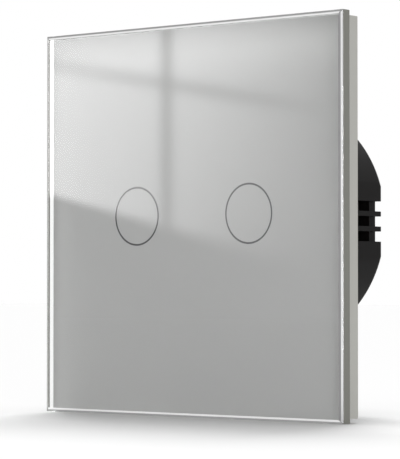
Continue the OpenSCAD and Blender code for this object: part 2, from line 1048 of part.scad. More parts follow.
module terminal_block() {
    color(block_green)
        difference() {
            block([-block_half, y_power_rear, z_block_low], [block_half, y_block_rear, z_block_high]);
            for (x = poles)
                translate([x, 0, 0]) {
                    block(
                        [-cavity_half, y_cavity, z_pole - cavity_l],
                        [cavity_half, y_cavity_rear, z_pole + cavity_l]
                    );
                    block(
                        [-bus_half - bus_clear, y_power_rear - cut, z_pole + cavity_l - cut],
                        [bus_half + bus_clear, y_bus_rear + bus_clear, z_bus_leg + bus_t + bus_clear]
                    );
                    bar_y(
                        [0, z_pole], y_cavity_rear - cut,
                        shoulder_t + 2 * cut, clamp_screw_r + 2 * screw_clear
                    );
                    bar_y([0, z_pole], y_shoulder, head_pocket + cut, clamp_head_r + head_side_gap);
                    along_z(z_block_low - cut, floor_wall + 2 * cut)
                        translate([0, y_wire])
                            circle(wire_r);
                }
        }
}

// Each bar lies in its cage above the wire and turns down to the board
module bus_bars() {
    color(brass)
        for (x = poles)
            translate([x, 0, 0]) {
                block([-bus_half, y_bus, z_pole - cage_l / 2], [bus_half, y_bus_rear, z_bus_leg + bus_t]);
                block([-bus_half, y_power_rear, z_bus_leg], [bus_half, y_bus_rear, z_bus_leg + bus_t]);
            }
}

// The screw turns in the block with its head towards the rear
module terminal_screw(x) {
    y_head = y_shoulder + head_gap;
    y_end = y_bus_rear + bus_gap - head_gap;
    color(steel)
        translate([x, 0, z_pole])
            difference() {
                union() {
                    bar_y([0, 0], y_head, head_t, clamp_head_r);
                    bar_y([0, 0], y_end, y_head - y_end, clamp_screw_r);
                }
                block(
                    [-clamp_head_r, y_head + head_t / 2, -head_slot / 2],
                    [clamp_head_r, y_head + head_t + cut, head_slot / 2]
                );
            }
}

// A box open along Z, with the screw's thread in its rear wall
module clamp_cage(x) {
    half = cage_w / 2;
    color(brass)
        translate([x, 0, z_pole])
            difference() {
                block([-half, y_cage, -cage_l / 2], [half, y_cage_rear, cage_l / 2]);
                block(
                    [cage_wall - half, y_window, -cage_l / 2 - cut],
                    [half - cage_wall, y_window_rear, cage_l / 2 + cut]
                );
                bar_y([0, 0], y_window_rear - cut, cage_end + 2 * cut, clamp_screw_r + screw_clear);
            }
}

glass_plate();
decor_film();
ring_mark(-1);  // ring_mark_left
ring_mark(1);  // ring_mark_right
bond_tape();
surround_frame();
snap_clips();
mounting_bracket();
rear_housing();
housing_screws();
front_cover();
touch_board();
touch_chip();
touch_spring(-1);  // touch_spring_left
touch_spring(1);  // touch_spring_right
light_tube(-1);  // light_tube_left
light_tube(1);  // light_tube_right
indicator_lamp(-1);  // indicator_lamp_left
indicator_lamp(1);  // indicator_lamp_right
board_screws();
board_spacers();
header_pins();
header_socket();
power_board();
rectifier();
driver_chip();
bulk_capacitor();
film_capacitor();
choke_core();
choke_winding();
varistor();
fuse();
relay_case(-1);  // relay_case_left
relay_base(-1);  // relay_base_left
relay_coil(-1);  // relay_coil_left
relay_yoke(-1);  // relay_yoke_left
relay_armature(-1);  // relay_armature_left
relay_contact(-1);  // relay_contact_left
relay_case(1);  // relay_case_right
relay_base(1);  // relay_base_right
relay_coil(1);  // relay_coil_right
relay_yoke(1);  // relay_yoke_right
relay_armature(1);  // relay_armature_right
relay_contact(1);  // relay_contact_right
terminal_block();
bus_bars();
terminal_screw(-pole_pitch);  // terminal_screw_left
terminal_screw(0);  // terminal_screw_middle
terminal_screw(pole_pitch);  // terminal_screw_right
clamp_cage(-pole_pitch);  // clamp_cage_left
clamp_cage(0);  // clamp_cage_middle
clamp_cage(pole_pitch);  // clamp_cage_right
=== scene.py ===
"""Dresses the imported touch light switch: glass, print, mouldings, metal, boards and studio."""
import json
import math

import bmesh
import bpy
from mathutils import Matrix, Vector


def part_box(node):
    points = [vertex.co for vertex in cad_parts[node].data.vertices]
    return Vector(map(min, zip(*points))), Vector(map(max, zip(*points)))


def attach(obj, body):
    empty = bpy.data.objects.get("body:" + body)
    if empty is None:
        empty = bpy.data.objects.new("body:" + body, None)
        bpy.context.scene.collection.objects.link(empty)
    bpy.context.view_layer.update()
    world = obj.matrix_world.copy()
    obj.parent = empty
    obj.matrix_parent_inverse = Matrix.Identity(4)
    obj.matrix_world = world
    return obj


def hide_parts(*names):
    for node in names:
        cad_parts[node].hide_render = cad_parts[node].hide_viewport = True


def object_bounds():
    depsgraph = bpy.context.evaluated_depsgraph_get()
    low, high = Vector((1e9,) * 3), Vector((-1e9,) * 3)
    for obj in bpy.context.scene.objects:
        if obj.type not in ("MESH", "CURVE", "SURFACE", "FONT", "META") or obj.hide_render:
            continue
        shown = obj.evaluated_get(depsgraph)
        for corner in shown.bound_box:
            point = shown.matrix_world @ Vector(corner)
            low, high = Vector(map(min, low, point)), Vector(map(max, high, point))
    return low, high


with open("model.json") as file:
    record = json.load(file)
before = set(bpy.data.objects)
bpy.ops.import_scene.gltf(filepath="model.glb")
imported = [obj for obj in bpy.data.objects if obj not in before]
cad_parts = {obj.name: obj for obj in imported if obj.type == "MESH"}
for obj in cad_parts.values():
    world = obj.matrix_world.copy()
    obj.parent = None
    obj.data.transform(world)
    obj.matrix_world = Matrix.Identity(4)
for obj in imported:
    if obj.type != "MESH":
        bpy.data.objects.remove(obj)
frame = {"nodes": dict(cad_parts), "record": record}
CAD_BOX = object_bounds()

bl_info = {
    "name": "Touch light switch",
    "version": (1, 0, 0),
    "blender": (4, 5, 0),
    "location": "View3D > Sidebar > Switch",
    "description": "Builds the looks of a glass touch light switch round its packed frame",
    "category": "Object",
}

MM = 0.001
CAD_WELD = 0.001 * MM
SAME_PLACE = 0.0005 * MM
FLAT_TURN = math.radians(1.0)
SIDES = ("left", "right")
POLES = ("left", "middle", "right")
CHIPS = ("touch_chip", "driver_chip", "rectifier")

# Turns that send a shape along Z into the wall and out of it
INWARD = (-math.pi / 2, 0.0, 0.0)
OUTWARD = (math.pi / 2, 0.0, 0.0)

# Sizes of a screw's head as shares of its radius, and of its recess as a share of its height
DOME_SHARE = 1.12
SHORT_SLOT = 1.1
LONG_SLOT = 2.2
RECESS_SHARE = 0.55

# Directions in which metal is drawn, as a scale on each axis
DRAWN_UP = (1.0, 1.0, 0.04)
NOT_DRAWN = (1.0, 1.0, 1.0)

# What ground and polished edges of the glass let through
EDGE_TINT = (0.9, 0.92, 0.9)

# Colours of small parts
FOAM_WHITE = (0.78, 0.78, 0.75)
STRIP_BLACK = (0.012, 0.012, 0.013)
EPOXY_BLACK = (0.014, 0.014, 0.015)
NYLON_WHITE = (0.75, 0.75, 0.7)
FERRITE_GREY = (0.03, 0.03, 0.032)
SPOOL_CREAM = (0.6, 0.57, 0.48)
SOLDER_GREY = (0.7, 0.7, 0.66)
BARE_CAN = (0.75, 0.75, 0.76)

# Substances of two-part pieces: a colour, a roughness, and one for metal
LAMP_BODY = ((0.8, 0.8, 0.78), 0.35, 0.0)
LAMP_LENS = ((0.75, 0.6, 0.16), 0.2, 0.0)
CHIP_BODY = (EPOXY_BLACK, 0.55, 0.0)
CHIP_LEGS = ((0.62, 0.62, 0.6), 0.3, 1.0)
PIN_STRIP = (STRIP_BLACK, 0.5, 0.0)
FUSE_TUBE = ((0.72, 0.7, 0.64), 0.4, 0.0)

# Fixed parts of the stage, in metres
FLOOR_REACH = 3.0
HIGH_LAMP = (-0.34, 0.50, 0.79)
FILL_LAMP = (0.42, -0.36, -0.01)
FILL_SIZE = 0.2
CLIP_START = 0.01
CLIP_END = 50.0

# Length of the camera's sensor, in millimetres
SENSOR = 36.0


# Sizes and colours that a user would change


def length(name, description, millimetres):
    """A length property, given in millimetres and kept in metres."""
    return bpy.props.FloatProperty(
        name=name, description=description, default=millimetres * MM, unit="LENGTH", precision=6
    )


def colour(name, description, rgb):
    """A colour property with plain linear values."""
    return bpy.props.FloatVectorProperty(
        name=name, description=description, default=rgb, subtype="COLOR", size=3, min=0.0, max=1.0
    )


def amount(name, description, value):
    """A plain number property."""
    return bpy.props.FloatProperty(name=name, description=description, default=value)


class SwitchPanelSettings(bpy.types.PropertyGroup):
    """Glass front, its print and the frame behind it."""

    bevel_width: length("Bevel width", "Width of the ground bevel round the front", 0.9)
    bevel_depth: length("Bevel depth", "Depth of the ground bevel", 0.5)
    rear_chamfer: length("Rear chamfer", "Chamfer round the rear of the glass", 0.65)
    arris: length("Arris", "Rounding of the polished edges of the glass", 0.07)
    bevel_split: amount("Bevel split", "Share of the bevel that its outer band takes", 0.52)
    side_colour: colour("Glass side", "Dark olive of the ground sides", (0.16, 0.16, 0.14))
    arris_colour: colour("Arris colour", "Grey of the ground arris", (0.36, 0.36, 0.36))
    # Painted shade: the grey line beside the right bevel stands for shade along the glass's right edge
    edge_shade_colour: colour("Edge line colour", "Grey of the line beside the bevel", (0.24, 0.235, 0.24))
    glint_colour: colour("Top glint", "Tone of the light in the upper bevel", (0.81, 0.81, 0.81))
    # Painted highlight: the right bevel has a tone of its own for the light that falls on that side
    side_glint_colour: colour("Side glint", "Tone of the light in the right bevel", (0.72, 0.72, 0.73))
    # Painted highlight: the white of the lower inner bevel stands for a bright line of light along the
    # bottom edge
    lower_highlight_colour: colour("Frost", "White of the frosted bevel", (0.93, 0.93, 0.93))
    film_overlap: length("Film overlap", "How far the glass is wetted by the print", 0.01)
    film_colour: colour("Film", "Grey of the print behind the glass", (0.437, 0.436, 0.436))
    line_colour: colour("Line", "Grey of the printed circles", (0.065, 0.065, 0.067))
    frame_colour: colour("Frame", "Grey of the moulded frame", (0.392, 0.388, 0.362))
    edge_round: length("Edge rounding", "Rounding of moulded edges", 0.12)


class SwitchBaseSettings(bpy.types.PropertyGroup):
    """The part that stays on the wall."""

    housing_colour: colour("Housing", "Black of the rear housing", (0.0055, 0.005, 0.005))
    steel_colour: colour("Steel", "Tint of the zinc plated bracket", (0.6, 0.61, 0.62))
    housing_round: length("Housing rounding", "Rounding of the housing's edges", 0.18)
    recess_wide: length("Rear recess width", "Width of the blank recess in the rear face", 28.0)
    recess_high: length("Rear recess height", "Height of the blank recess", 15.0)
    recess_deep: length("Rear recess depth", "Depth of the blank recess", 0.3)
    recess_corner: length("Rear recess corner", "Radius of the blank recess in its corners", 1.5)
    recess_lift: length("Rear recess lift", "Height of the recess over the housing's middle", 4.0)
    sink_rim: length("Driver sink rim", "Radius of the sinks round the driver holes", 2.7)
    sink_deep: length("Driver sink depth", "Depth of the sinks round the driver holes", 0.8)
    pin_mark: length("Ejector mark", "Radius of the marks that ejector pins leave", 1.5)
    pin_deep: length("Ejector mark depth", "Depth of the marks that ejector pins leave", 0.12)
    sheet_round: length("Sheet rounding", "Rounding of the pressed steel's edges", 0.1)
    housing_head: length("Housing screw head", "Height of the housing screws' heads", 0.55)
    housing_shank: length("Housing screw radius", "Radius of the housing screws over the thread", 1.25)
    board_head: length("Board screw head", "Height of the board screws' heads", 0.9)
    board_shank: length("Board screw radius", "Radius of the board screws over the thread", 0.9)
    clamp_head: length("Terminal screw head", "Height of the terminal screws' heads", 1.2)
    clamp_shank: length("Terminal screw radius", "Radius of the terminal screws over the thread", 1.25)
    thread_pitch: length("Thread pitch", "Distance from one turn of a thread to the next", 0.5)
    recess_width: length("Recess width", "Width of the slots in the screw heads", 0.6)


class SwitchInsideSettings(bpy.types.PropertyGroup):
    """Touch keys, boards, relays and terminals."""

    spring_wire: length("Spring wire", "Thickness of the touch springs' wire", 0.5)
    spring_turns: amount("Spring turns", "Open turns of each touch spring", 3.0)
    lens_radius: length("Lens radius", "Radius of the lamps' lenses", 1.1)
    strip_height: length("Strip height", "Height of the strip that holds the header pins", 1.5)
    touch_chip: length("Touch chip", "Length of the touch chip between its legs", 4.4)
    driver_chip: length("Driver chip", "Length of the driver chip between its legs", 4.0)
    rectifier: length("Rectifier", "Length of the rectifier between its legs", 6.2)
    lead_stand: length("Lead stand", "How far parts on leads stand off the board", 1.0)
    fuse_cap: length("Fuse cap", "Length of the caps of the fuse", 1.8)
    can_top: length("Can top", "Radius of the bare top of the can", 3.2)
    can_lip: length("Can lip", "How far the sleeve turns over the can's top", 0.3)
    can_stripe: length("Can stripe", "Distance of the sleeve's stripe from the can's middle", 3.0)
    choke_wire: length("Choke wire", "Thickness of the choke's wire", 0.4)
    relay_wire: length("Relay wire", "Thickness of the relays' wire", 0.25)
    bobbin_flange: length("Bobbin end", "Thickness of the ends of the relays' spools", 0.6)
    bobbin_lip: length("Bobbin lip", "How far the spools' ends stand out over the wire", 0.4)
    bobbin_bore: length("Bobbin bore", "Radius of the hole through the relays' spools", 1.55)
    small_round: length("Small rounding", "Rounding of small metal and plastic parts", 0.08)
    block_round: length("Block rounding", "Rounding of cases and boxes", 0.4)
    board_colour: colour("Boards", "Green of the boards' lacquer", (0.012, 0.085, 0.035))
    gold_colour: colour("Gold", "Tint of gilded pins", (0.83, 0.62, 0.25))
    tin_colour: colour("Tin", "Tint of tinned and nickel plated metal", (0.66, 0.65, 0.62))
    brass_colour: colour("Brass", "Tint of the bus bars", (0.72, 0.53, 0.22))
    copper_colour: colour("Copper", "Tint of enamelled wire", (0.72, 0.31, 0.14))
    contact_colour: colour("Contacts", "Tint of the relay contacts", (0.8, 0.77, 0.72))
    capacitor_colour: colour("Film capacitor", "Red of the film capacitor", (0.42, 0.035, 0.02))
    sleeve_colour: colour("Sleeve", "Dark blue of the can's sleeve", (0.012, 0.016, 0.04))
    stripe_colour: colour("Stripe", "Pale stripe of the can's sleeve", (0.55, 0.56, 0.56))
    varistor_colour: colour("Varistor", "Blue of the varistor's coat", (0.03, 0.09, 0.3))
    relay_colour: colour("Relays", "Blue of the relay covers", (0.02, 0.07, 0.28))
    terminal_colour: colour("Terminals", "Green of the terminal block", (0.02, 0.16, 0.07))


class SwitchStageSettings(bpy.types.PropertyGroup):
    """Camera, lamps, floor and the window that the glass mirrors."""

    camera_side: length("Camera side", "Distance of the camera to the right of the panel", 329.8)
    camera_front: length("Camera front", "Distance of the camera in front of the wall plane", 379.9)
    camera_height: length("Camera height", "Height of the camera over the panel's middle", -14.17)
    camera_turn: amount("Camera turn", "Turn of the camera to the left, in degrees", 41.12)
    camera_lift: amount("Camera lift", "Upward tilt of the camera, in degrees", 1.409)
    lens: amount("Lens", "Focal length on a 36 mm long side", 192.65)
    floor_colour: colour("Floor", "Colour of the floor", (0.85, 0.85, 0.85))
    floor_glow: amount("Floor glow", "Share of the floor's white that comes from below", 0.25)
    contact: length("Contact shadow", "How far the dark at the object's foot spreads", 28.0)
    under_light: amount("Under light", "Light that comes up through the floor on to the object", 0.55)
    bounce: amount("Bounce", "Share of the floor's colour that lights the object", 0.5)
    world_level: amount("World level", "Strength of the room's even light", 0.42)
    high_power: amount("High lamp", "Strength of the broad lamp high behind the panel", 2.9)
    high_spread: amount("High lamp spread", "Angle that the high lamp fills, in degrees", 28.0)
    fill_power: amount("Fill power", "Power of the low lamp on the right, in watts", 1.4)
    window_level: amount("Window level", "Brightness of the window that the glass mirrors", 7.5)
    window_far: length("Window distance", "Distance of the mirrored window from the wall plane", 900.0)
    bar_x: length("Upright bar", "Place of the window's upright bar as seen on the glass", -5.2)
    bar_z: length("Cross bar", "Height of the window's cross bar as seen on the glass", 27.0)
    sill_z: length("Sill", "Height of the window's lower edge as seen on the glass", -2.5)


# Node graphs


def math_pair(operation):
    """A Python operator that adds a Math node, and its reflected form."""

    def plain(self, other):
        return self.math(operation, self, other)

    def reflected(self, other):
        return self.math(operation, other, self)

    return plain, reflected


class Wire:
    """A node socket that works in Python expressions: each operator adds a Math node."""

    __add__, __radd__ = math_pair("ADD")
    __sub__, __rsub__ = math_pair("SUBTRACT")
    __mul__, __rmul__ = math_pair("MULTIPLY")
    __truediv__, __rtruediv__ = math_pair("DIVIDE")
    __pow__, __rpow__ = math_pair("POWER")

    def __init__(self, graph, socket):
        self.graph = graph
        self.socket = socket

    def __abs__(self):
        return self.math("ABSOLUTE", self)

    def math(self, operation, *values):
        return self.graph.node("ShaderNodeMath", dict(enumerate(values)), operation=operation)

    def above(self, other):
        """One where this is above the other, and none elsewhere."""
        return self.math("GREATER_THAN", self, other)

    def clamped(self):
        return self.math("MINIMUM", self.math("MAXIMUM", self, 0.0), 1.0)

    def swing(self, reach):
        """A noise as a change either way, with this reach from end to end."""
        return (self - 0.5) * reach

    def beside(self, name):
        """Another output of the same node."""
        return Wire(self.graph, self.socket.node.outputs[name])


class Graph:
    """A node tree under construction."""

    def __init__(self, tree):
        self.tree = tree

    def node(self, kind, sockets=None, out=0, **options):
        """Adds a node: its settings first, then the values or links of its sockets."""
        made = self.tree.nodes.new(kind)
        for key, value in options.items():
            setattr(made, key, value)
        for key, value in (sockets or {}).items():
            if isinstance(value, Wire):
                self.tree.links.new(value.socket, made.inputs[key])
            else:
                made.inputs[key].default_value = value
        return Wire(self, made.outputs[out]) if made.outputs else made

    def seen(self):
        """One for rays that see a thing, also in a mirror or through glass, and none for its light."""
        path = self.node("ShaderNodeLightPath", out="Is Camera Ray")
        seen = path
        for name in ("Is Glossy Ray", "Is Transmission Ray"):
            seen = seen.math("MAXIMUM", seen, path.beside(name))
        return seen


class Finish(Graph):
    """A material under construction, on Object coordinates."""

    def __init__(self, name):
        self.material = bpy.data.materials.new(name)
        self.material.use_nodes = True
        super().__init__(self.material.node_tree)
        self.tree.nodes.clear()
        self.place = self.node("ShaderNodeTexCoord", out="Object")

    def mapped(self, change, vector):
        """The coordinates with a scale or a rotation."""
        return self.node("ShaderNodeMapping", {"Vector": self.place, change: vector})

    def noise(self, scale, detail=2.0, rough=0.5, place=None):
        sockets = {"Scale": scale, "Detail": detail, "Roughness": rough}
        return self.node("ShaderNodeTexNoise", {"Vector": place or self.place, **sockets})

    def mix(self, factor, a, b):
        """A colour between two colours."""
        sockets = {"Factor": factor, 6: rgba(a), 7: rgba(b)}
        return self.node("ShaderNodeMix", sockets, out=2, data_type="RGBA")

    def mottled(self, factor, rgb, dark, light):
        """A colour that varies between a darker and a lighter shade of itself."""
        return self.mix(factor, shade(rgb, dark), shade(rgb, light))

    def bump(self, height, strength, depth):
        """A relief with a depth in millimetres."""
        sockets = {"Height": height, "Strength": strength, "Distance": depth * MM}
        return self.node("ShaderNodeBump", sockets)

    def axis(self, letter):
        """One of the object's coordinates, in millimetres."""
        return self.node("ShaderNodeSeparateXYZ", {"Vector": self.place}, letter) / MM

    def away(self, middle):
        """The distance from a line along Y through a point, in millimetres."""
        across = self.axis("X") - middle.x / MM
        up = self.axis("Z") - middle.z / MM
        return (across * across + up * up) ** 0.5

    def glow(self, level):
        return self.node("ShaderNodeEmission", {"Color": level, "Strength": 1.0})

    def surface(self, tone, rough, more=None):
        """A surface with a tone, a roughness and what else it has."""
        sockets = {"Base Color": tone, "Roughness": rough, **(more or {})}
        return self.node("ShaderNodeBsdfPrincipled", sockets)

    def done(self, shader):
        self.node("ShaderNodeOutputMaterial", {"Surface": shader})
        return self.material

    def skin(self, tone, rough, more=None):
        """Ends the material with one surface."""
        return self.done(self.surface(tone, rough, more))

    def lit_through(self, rgb, tone, rough, more):
        """Ends the material with a surface that lamps shine through, tinted by a colour."""
        clear = self.node("ShaderNodeBsdfTransparent", {"Color": rgba(rgb)})
        path = self.node("ShaderNodeLightPath", out="Is Shadow Ray")
        ends = {0: path, 1: self.surface(tone, rough, more), 2: clear}
        return self.done(self.node("ShaderNodeMixShader", ends))


class GeometryGraph(Graph):
    """A geometry node tree with named sizes as its inputs, run on a few points."""

    def __init__(self, name, *sizes):
        super().__init__(bpy.data.node_groups.new(name, "GeometryNodeTree"))
        face = self.tree.interface
        face.new_socket("Geometry", in_out="OUTPUT", socket_type="NodeSocketGeometry")
        face.new_socket("Points", in_out="INPUT", socket_type="NodeSocketGeometry")
        kinds = {**dict.fromkeys(sizes, "Float"), "Turn": "Rotation", "Material": "Material"}
        self.keys = {}
        for key, kind in kinds.items():
            socket = face.new_socket(key, in_out="INPUT", socket_type="NodeSocket" + kind)
            self.keys[key] = socket.identifier
        entry = self.tree.nodes.new("NodeGroupInput")
        self.take = {s.name: Wire(self, s) for s in entry.outputs if s.name}
        self.sizes = [self.take[key] for key in sizes]

    def vector(self, x, y, z):
        return self.node("ShaderNodeCombineXYZ", {"X": x, "Y": y, "Z": z})

    def moved(self, shape, offset, scale=(1.0, 1.0, 1.0)):
        sockets = {"Geometry": shape, "Translation": offset, "Scale": scale}
        return self.node("GeometryNodeTransform", sockets)

    def drum(self, radius, start, depth, sides=40):
        """A round bar along Z from a start."""
        sockets = {"Vertices": sides, "Radius": radius, "Depth": depth}
        made = self.node("GeometryNodeMeshCylinder", sockets)
        return self.moved(made, self.vector(0.0, 0.0, start + depth * 0.5))

    def wound(self, radius, wire, height, turns, start, steps=40, sides=8):
        """A round wire wound along Z from a start."""
        sizes = {"Start Radius": radius, "End Radius": radius, "Height": height}
        sizes.update({"Resolution": steps, "Rotations": turns})
        path = self.node("GeometryNodeCurveSpiral", sizes)
        section = {"Resolution": sides, "Radius": wire * 0.5}
        ring = self.node("GeometryNodeCurvePrimitiveCircle", section)
        sockets = {"Curve": path, "Profile Curve": ring, "Fill Caps": True}
        skin = self.node("GeometryNodeCurveToMesh", sockets)
        return self.moved(skin, self.vector(0.0, 0.0, start))

    def boolean(self, operation, shape, tool):
        """The shape less the tool, or what the two share."""
        tools = {"Mesh 2": tool}
        made = self.node("GeometryNodeMeshBoolean", tools, operation=operation, solver="EXACT")
        entry = "Mesh 1" if operation == "DIFFERENCE" else "Mesh 2"
        self.tree.links.new(shape.socket, made.socket.node.inputs[entry])
        return made

    def joined(self, *shapes):
        made = self.tree.nodes.new("GeometryNodeJoinGeometry")
        for shape in shapes:
            self.tree.links.new(shape.socket, made.inputs[0])
        return Wire(self, made.outputs[0])

    def done(self, shape):
        """Puts the shape on every point, turned, realised and with its material."""
        take = self.take
        sockets = {"Points": take["Points"], "Instance": shape, "Rotation": take["Turn"]}
        spread = self.node("GeometryNodeInstanceOnPoints", sockets)
        real = self.node("GeometryNodeRealizeInstances", {"Geometry": spread})
        sockets = {"Geometry": real, "Material": take["Material"]}
        dressed = self.node("GeometryNodeSetMaterial", sockets)
        self.node("NodeGroupOutput", {0: dressed})
        return self

    def grow(self, name, points, values):
        """Runs the tree on points and gives the plain mesh that it makes."""
        seed = bpy.data.meshes.new(name)
        seed.from_pydata(points, [], [])
        thing = put(name, seed)
        modifier = thing.modifiers.new(name, "NODES")
        modifier.node_group = self.tree
        for key, value in values.items():
            modifier[self.keys[key]] = value
        mesh = baked(thing)
        bpy.data.meshes.remove(seed)
        if not mesh.polygons:
            raise RuntimeError(name + " came out of its geometry tree empty")
        bm = bmesh.new()
        bm.from_mesh(mesh)
        close_up(bm)
        bm.to_mesh(mesh)
        bm.free()
        smooth(mesh)
        return mesh


def screw_tree():
    """A domed screw along Z, its head at the start, with a crossed recess and a thread."""
    heads = ("Head radius", "Head height")
    shanks = ("Shank radius", "Thread pitch", "Length")
    recesses = ("Recess width", "Recess depth", "Slot length", "Cross length")
    g = GeometryGraph("threaded_screw", *heads, *shanks, *recesses)
    head_r, head_h, shank_r, pitch, long, width, depth, slot, cross = g.sizes
    ball = g.node("GeometryNodeMeshUVSphere", {"Segments": 48, "Rings": 24, "Radius": 1.0})
    wide = head_r * DOME_SHARE
    dome = g.moved(ball, g.vector(0.0, 0.0, head_h), g.vector(wide, wide, head_h))
    head = g.boolean("INTERSECT", dome, g.drum(head_r, 0.0, head_h, sides=48))
    deep = depth * 2.0
    for size in (g.vector(slot, width, deep), g.vector(width, cross, deep)):
        head = g.boolean("DIFFERENCE", head, g.node("GeometryNodeMeshCube", {"Size": size}))
    crest = pitch * 0.3
    root = shank_r - crest
    sunk = head_h * 0.9
    core = g.drum(root, sunk, long - sunk)
    run = long - head_h - pitch
    start = head_h + pitch * 0.4
    thread = g.wound(root, crest * 2.0, run, run / pitch, start, steps=24, sides=4)
    return g.done(g.joined(head, core, thread))


def sink_tree():
    """Round tools along Z that cut sinks, each with a rim and a floor radius, from a little outside."""
    g = GeometryGraph("round_sink", "Rim", "Floor", "Depth")
    rim, floor, depth = g.sizes
    sizes = {"Radius Top": floor, "Radius Bottom": rim * 2.0 - floor, "Depth": depth * 2.0}
    tool = g.node("GeometryNodeMeshCone", {"Vertices": 48, **sizes})
    return g.done(g.moved(tool, g.vector(0.0, 0.0, depth * -1.0)))


def coil_tree():
    """A round wire wound along Z with a flat turn at each end."""
    g = GeometryGraph("wound_wire", "Radius", "Wire", "Height", "Turns")
    radius, wire, height, turns = g.sizes
    low = g.wound(radius, wire, wire, 1.0, 0.0)
    body = g.wound(radius, wire, height - wire * 2.0, turns, wire)
    high = g.wound(radius, wire, wire, 1.0, height - wire)
    return g.done(g.joined(low, body, high))


# Finishes


def rgba(value):
    """Gives a plain colour its fourth number, and leaves a wire as it is."""
    return value if isinstance(value, Wire) else (*value[:3], 1.0)


def shade(rgb, factor):
    """A colour made darker or lighter by a factor."""
    return tuple(min(1.0, c * factor) for c in rgb)


def clear_glass():
    """Low-iron plate glass that lets lamps through to the print behind it."""
    f = Finish("clear_glass")
    tint = f.mix(f.noise(30.0, 3.0), (0.965, 0.975, 0.965), (0.975, 0.98, 0.972))
    return f.lit_through((0.97, 0.985, 0.975), tint, 0.0, {"IOR": 1.5, "Transmission Weight": 1.0})


def ground_edge(name, rgb):
    """Ground glass, where the plate looks dark and slightly olive; the same finish also carries the painted
    shade line and the painted white highlight on the bevel.
    """
    f = Finish(name)
    grind = f.noise(3000.0, 3.0, 0.6, f.mapped("Scale", (0.08, 1.0, 0.08)))
    tone = f.mottled(grind, rgb, 0.9, 1.1)
    return f.lit_through(EDGE_TINT, tone, 0.3 + grind * 0.15, {"IOR": 1.5})


def bright_bevel(name, rgb):
    """The polished bevel as a tinted metal mirror that throws back the light of the room; its tone, set for
    each side, is a painted highlight.
    """
    f = Finish(name)
    wave = f.noise(260.0, 2.0)
    tone = f.mottled(wave, rgb, 0.94, 1.06)
    return f.lit_through(EDGE_TINT, tone, 0.18 + wave * 0.08, {"Metallic": 1.0})


def screen_print(name, rgb, mottle=0.02):
    """Opaque ink, wetted by the glass in front of it and so without gloss, very slightly uneven."""
    f = Finish(name)
    cloud = f.noise(160.0, 4.0)
    speck = f.noise(9000.0, 1.0)
    tone = f.mottled(cloud * 0.6 + speck * 0.4, rgb, 1 - mottle, 1 + mottle)
    return f.skin(tone, 0.5 + cloud * 0.1, {"Specular IOR Level": 0.0})


def moulded(name, rgb, rough, grain, depth=0.02, cloud=0.06, gleam=0.5):
    """Moulded plastic with faint flow clouds and a fine spark-eroded grain, its depth in millimetres."""
    f = Finish(name)
    fine = f.noise(grain, 2.0, 0.6)
    flow = f.noise(90.0, 3.0)
    tone = f.mottled(flow, rgb, 1 - cloud, 1 + cloud)
    uneven = rough + fine.swing(0.16) + flow.swing(0.08)
    return f.skin(tone, uneven, {"Specular IOR Level": gleam, "Normal": f.bump(fine, 0.5, depth)})


def plated(name, rgb, rough=0.32, drawn=DRAWN_UP, scale=6000.0):
    """Plated metal with drawing lines and a cloudy bloom."""
    f = Finish(name)
    lines = f.noise(scale, 2.0, 0.6, f.mapped("Scale", drawn))
    bloom = f.noise(220.0, 4.0, 0.6)
    tone = f.mottled(bloom * 0.7 + lines * 0.3, rgb, 0.86, 1.1)
    uneven = rough + bloom.swing(0.18) + lines.swing(0.14)
    return f.skin(tone, uneven, {"Metallic": 1.0, "Normal": f.bump(lines, 0.35, 0.01)})


def two_part(name, where, first, second):
    """A piece of two substances, the second where a measure of the place is above none."""
    f = Finish(name)
    fine = f.noise(2600.0, 3.0)
    mask = where(f).above(0.0)
    tones = [f.mottled(fine, part[0], 0.88, 1.12) for part in (first, second)]
    rough, metal = (mask * (second[i] - first[i]) + first[i] for i in (1, 2))
    relief = f.bump(fine, 0.3, 0.01)
    return f.skin(f.mix(mask, *tones), rough + fine.swing(0.12), {"Metallic": metal, "Normal": relief})


def light_plastic():
    """Clear polycarbonate with a faint haze."""
    f = Finish("light_plastic")
    haze = f.noise(900.0, 3.0)
    tint = f.mix(haze, (0.93, 0.95, 0.96), (0.97, 0.98, 0.98))
    more = {"IOR": 1.58, "Transmission Weight": 1.0}
    return f.lit_through((0.95, 0.96, 0.97), tint, 0.08 + haze * 0.12, more)


def lamp_finish(name, middle, lens):
    """A white lamp body with a yellow lens in its middle."""
    return two_part(name + "_resin", lambda f: lens / MM - f.away(middle), LAMP_BODY, LAMP_LENS)


def chip_finish(node, long):
    """Black epoxy with tinned legs beyond its ends."""
    middle = middle_of(node).z / MM
    half = long / 2 / MM + 0.01
    return two_part(node + "_epoxy", lambda f: abs(f.axis("Z") - middle) - half, CHIP_BODY, CHIP_LEGS)


def solder_mask(rgb):
    """Green lacquer over copper tracks, which show as lighter lines and run both ways in patches."""
    f = Finish("solder_mask")
    rows = {"Brick Width": 1.5, "Row Height": 0.17, "Mortar Size": 0.028, "Mortar Smooth": 0.0}
    runs = []
    for turn in (math.pi / 2, 0.0):
        flat = f.mapped("Rotation", (math.pi / 2, 0.0, turn))
        sockets = {"Vector": flat, "Scale": 150.0, **rows}
        runs.append(f.node("ShaderNodeTexBrick", sockets, "Fac", offset=0.37, squash=0.8))
    across = f.noise(130.0, 0.0, 0.5, flat).above(0.5)
    laid = f.noise(95.0, 1.0, 0.5, flat).above(0.44)
    tracks = (runs[0] * across + runs[1] * (1.0 - across)) * laid
    weave = f.noise(2600.0, 2.0)
    cells = f.node("ShaderNodeTexVoronoi", {"Vector": flat, "Scale": 330.0})
    pads = (0.16 - cells).above(0.0) * f.noise(120.0, 1.0, 0.5, flat).above(0.52)
    lined = f.mix(tracks, f.mottled(weave, rgb, 0.85, 1.15), shade(rgb, 2.1))
    more = {"Metallic": pads, "Normal": f.bump(tracks + pads, 0.4, 0.03)}
    return f.skin(f.mix(pads, lined, SOLDER_GREY), 0.3 + weave * 0.1, more)


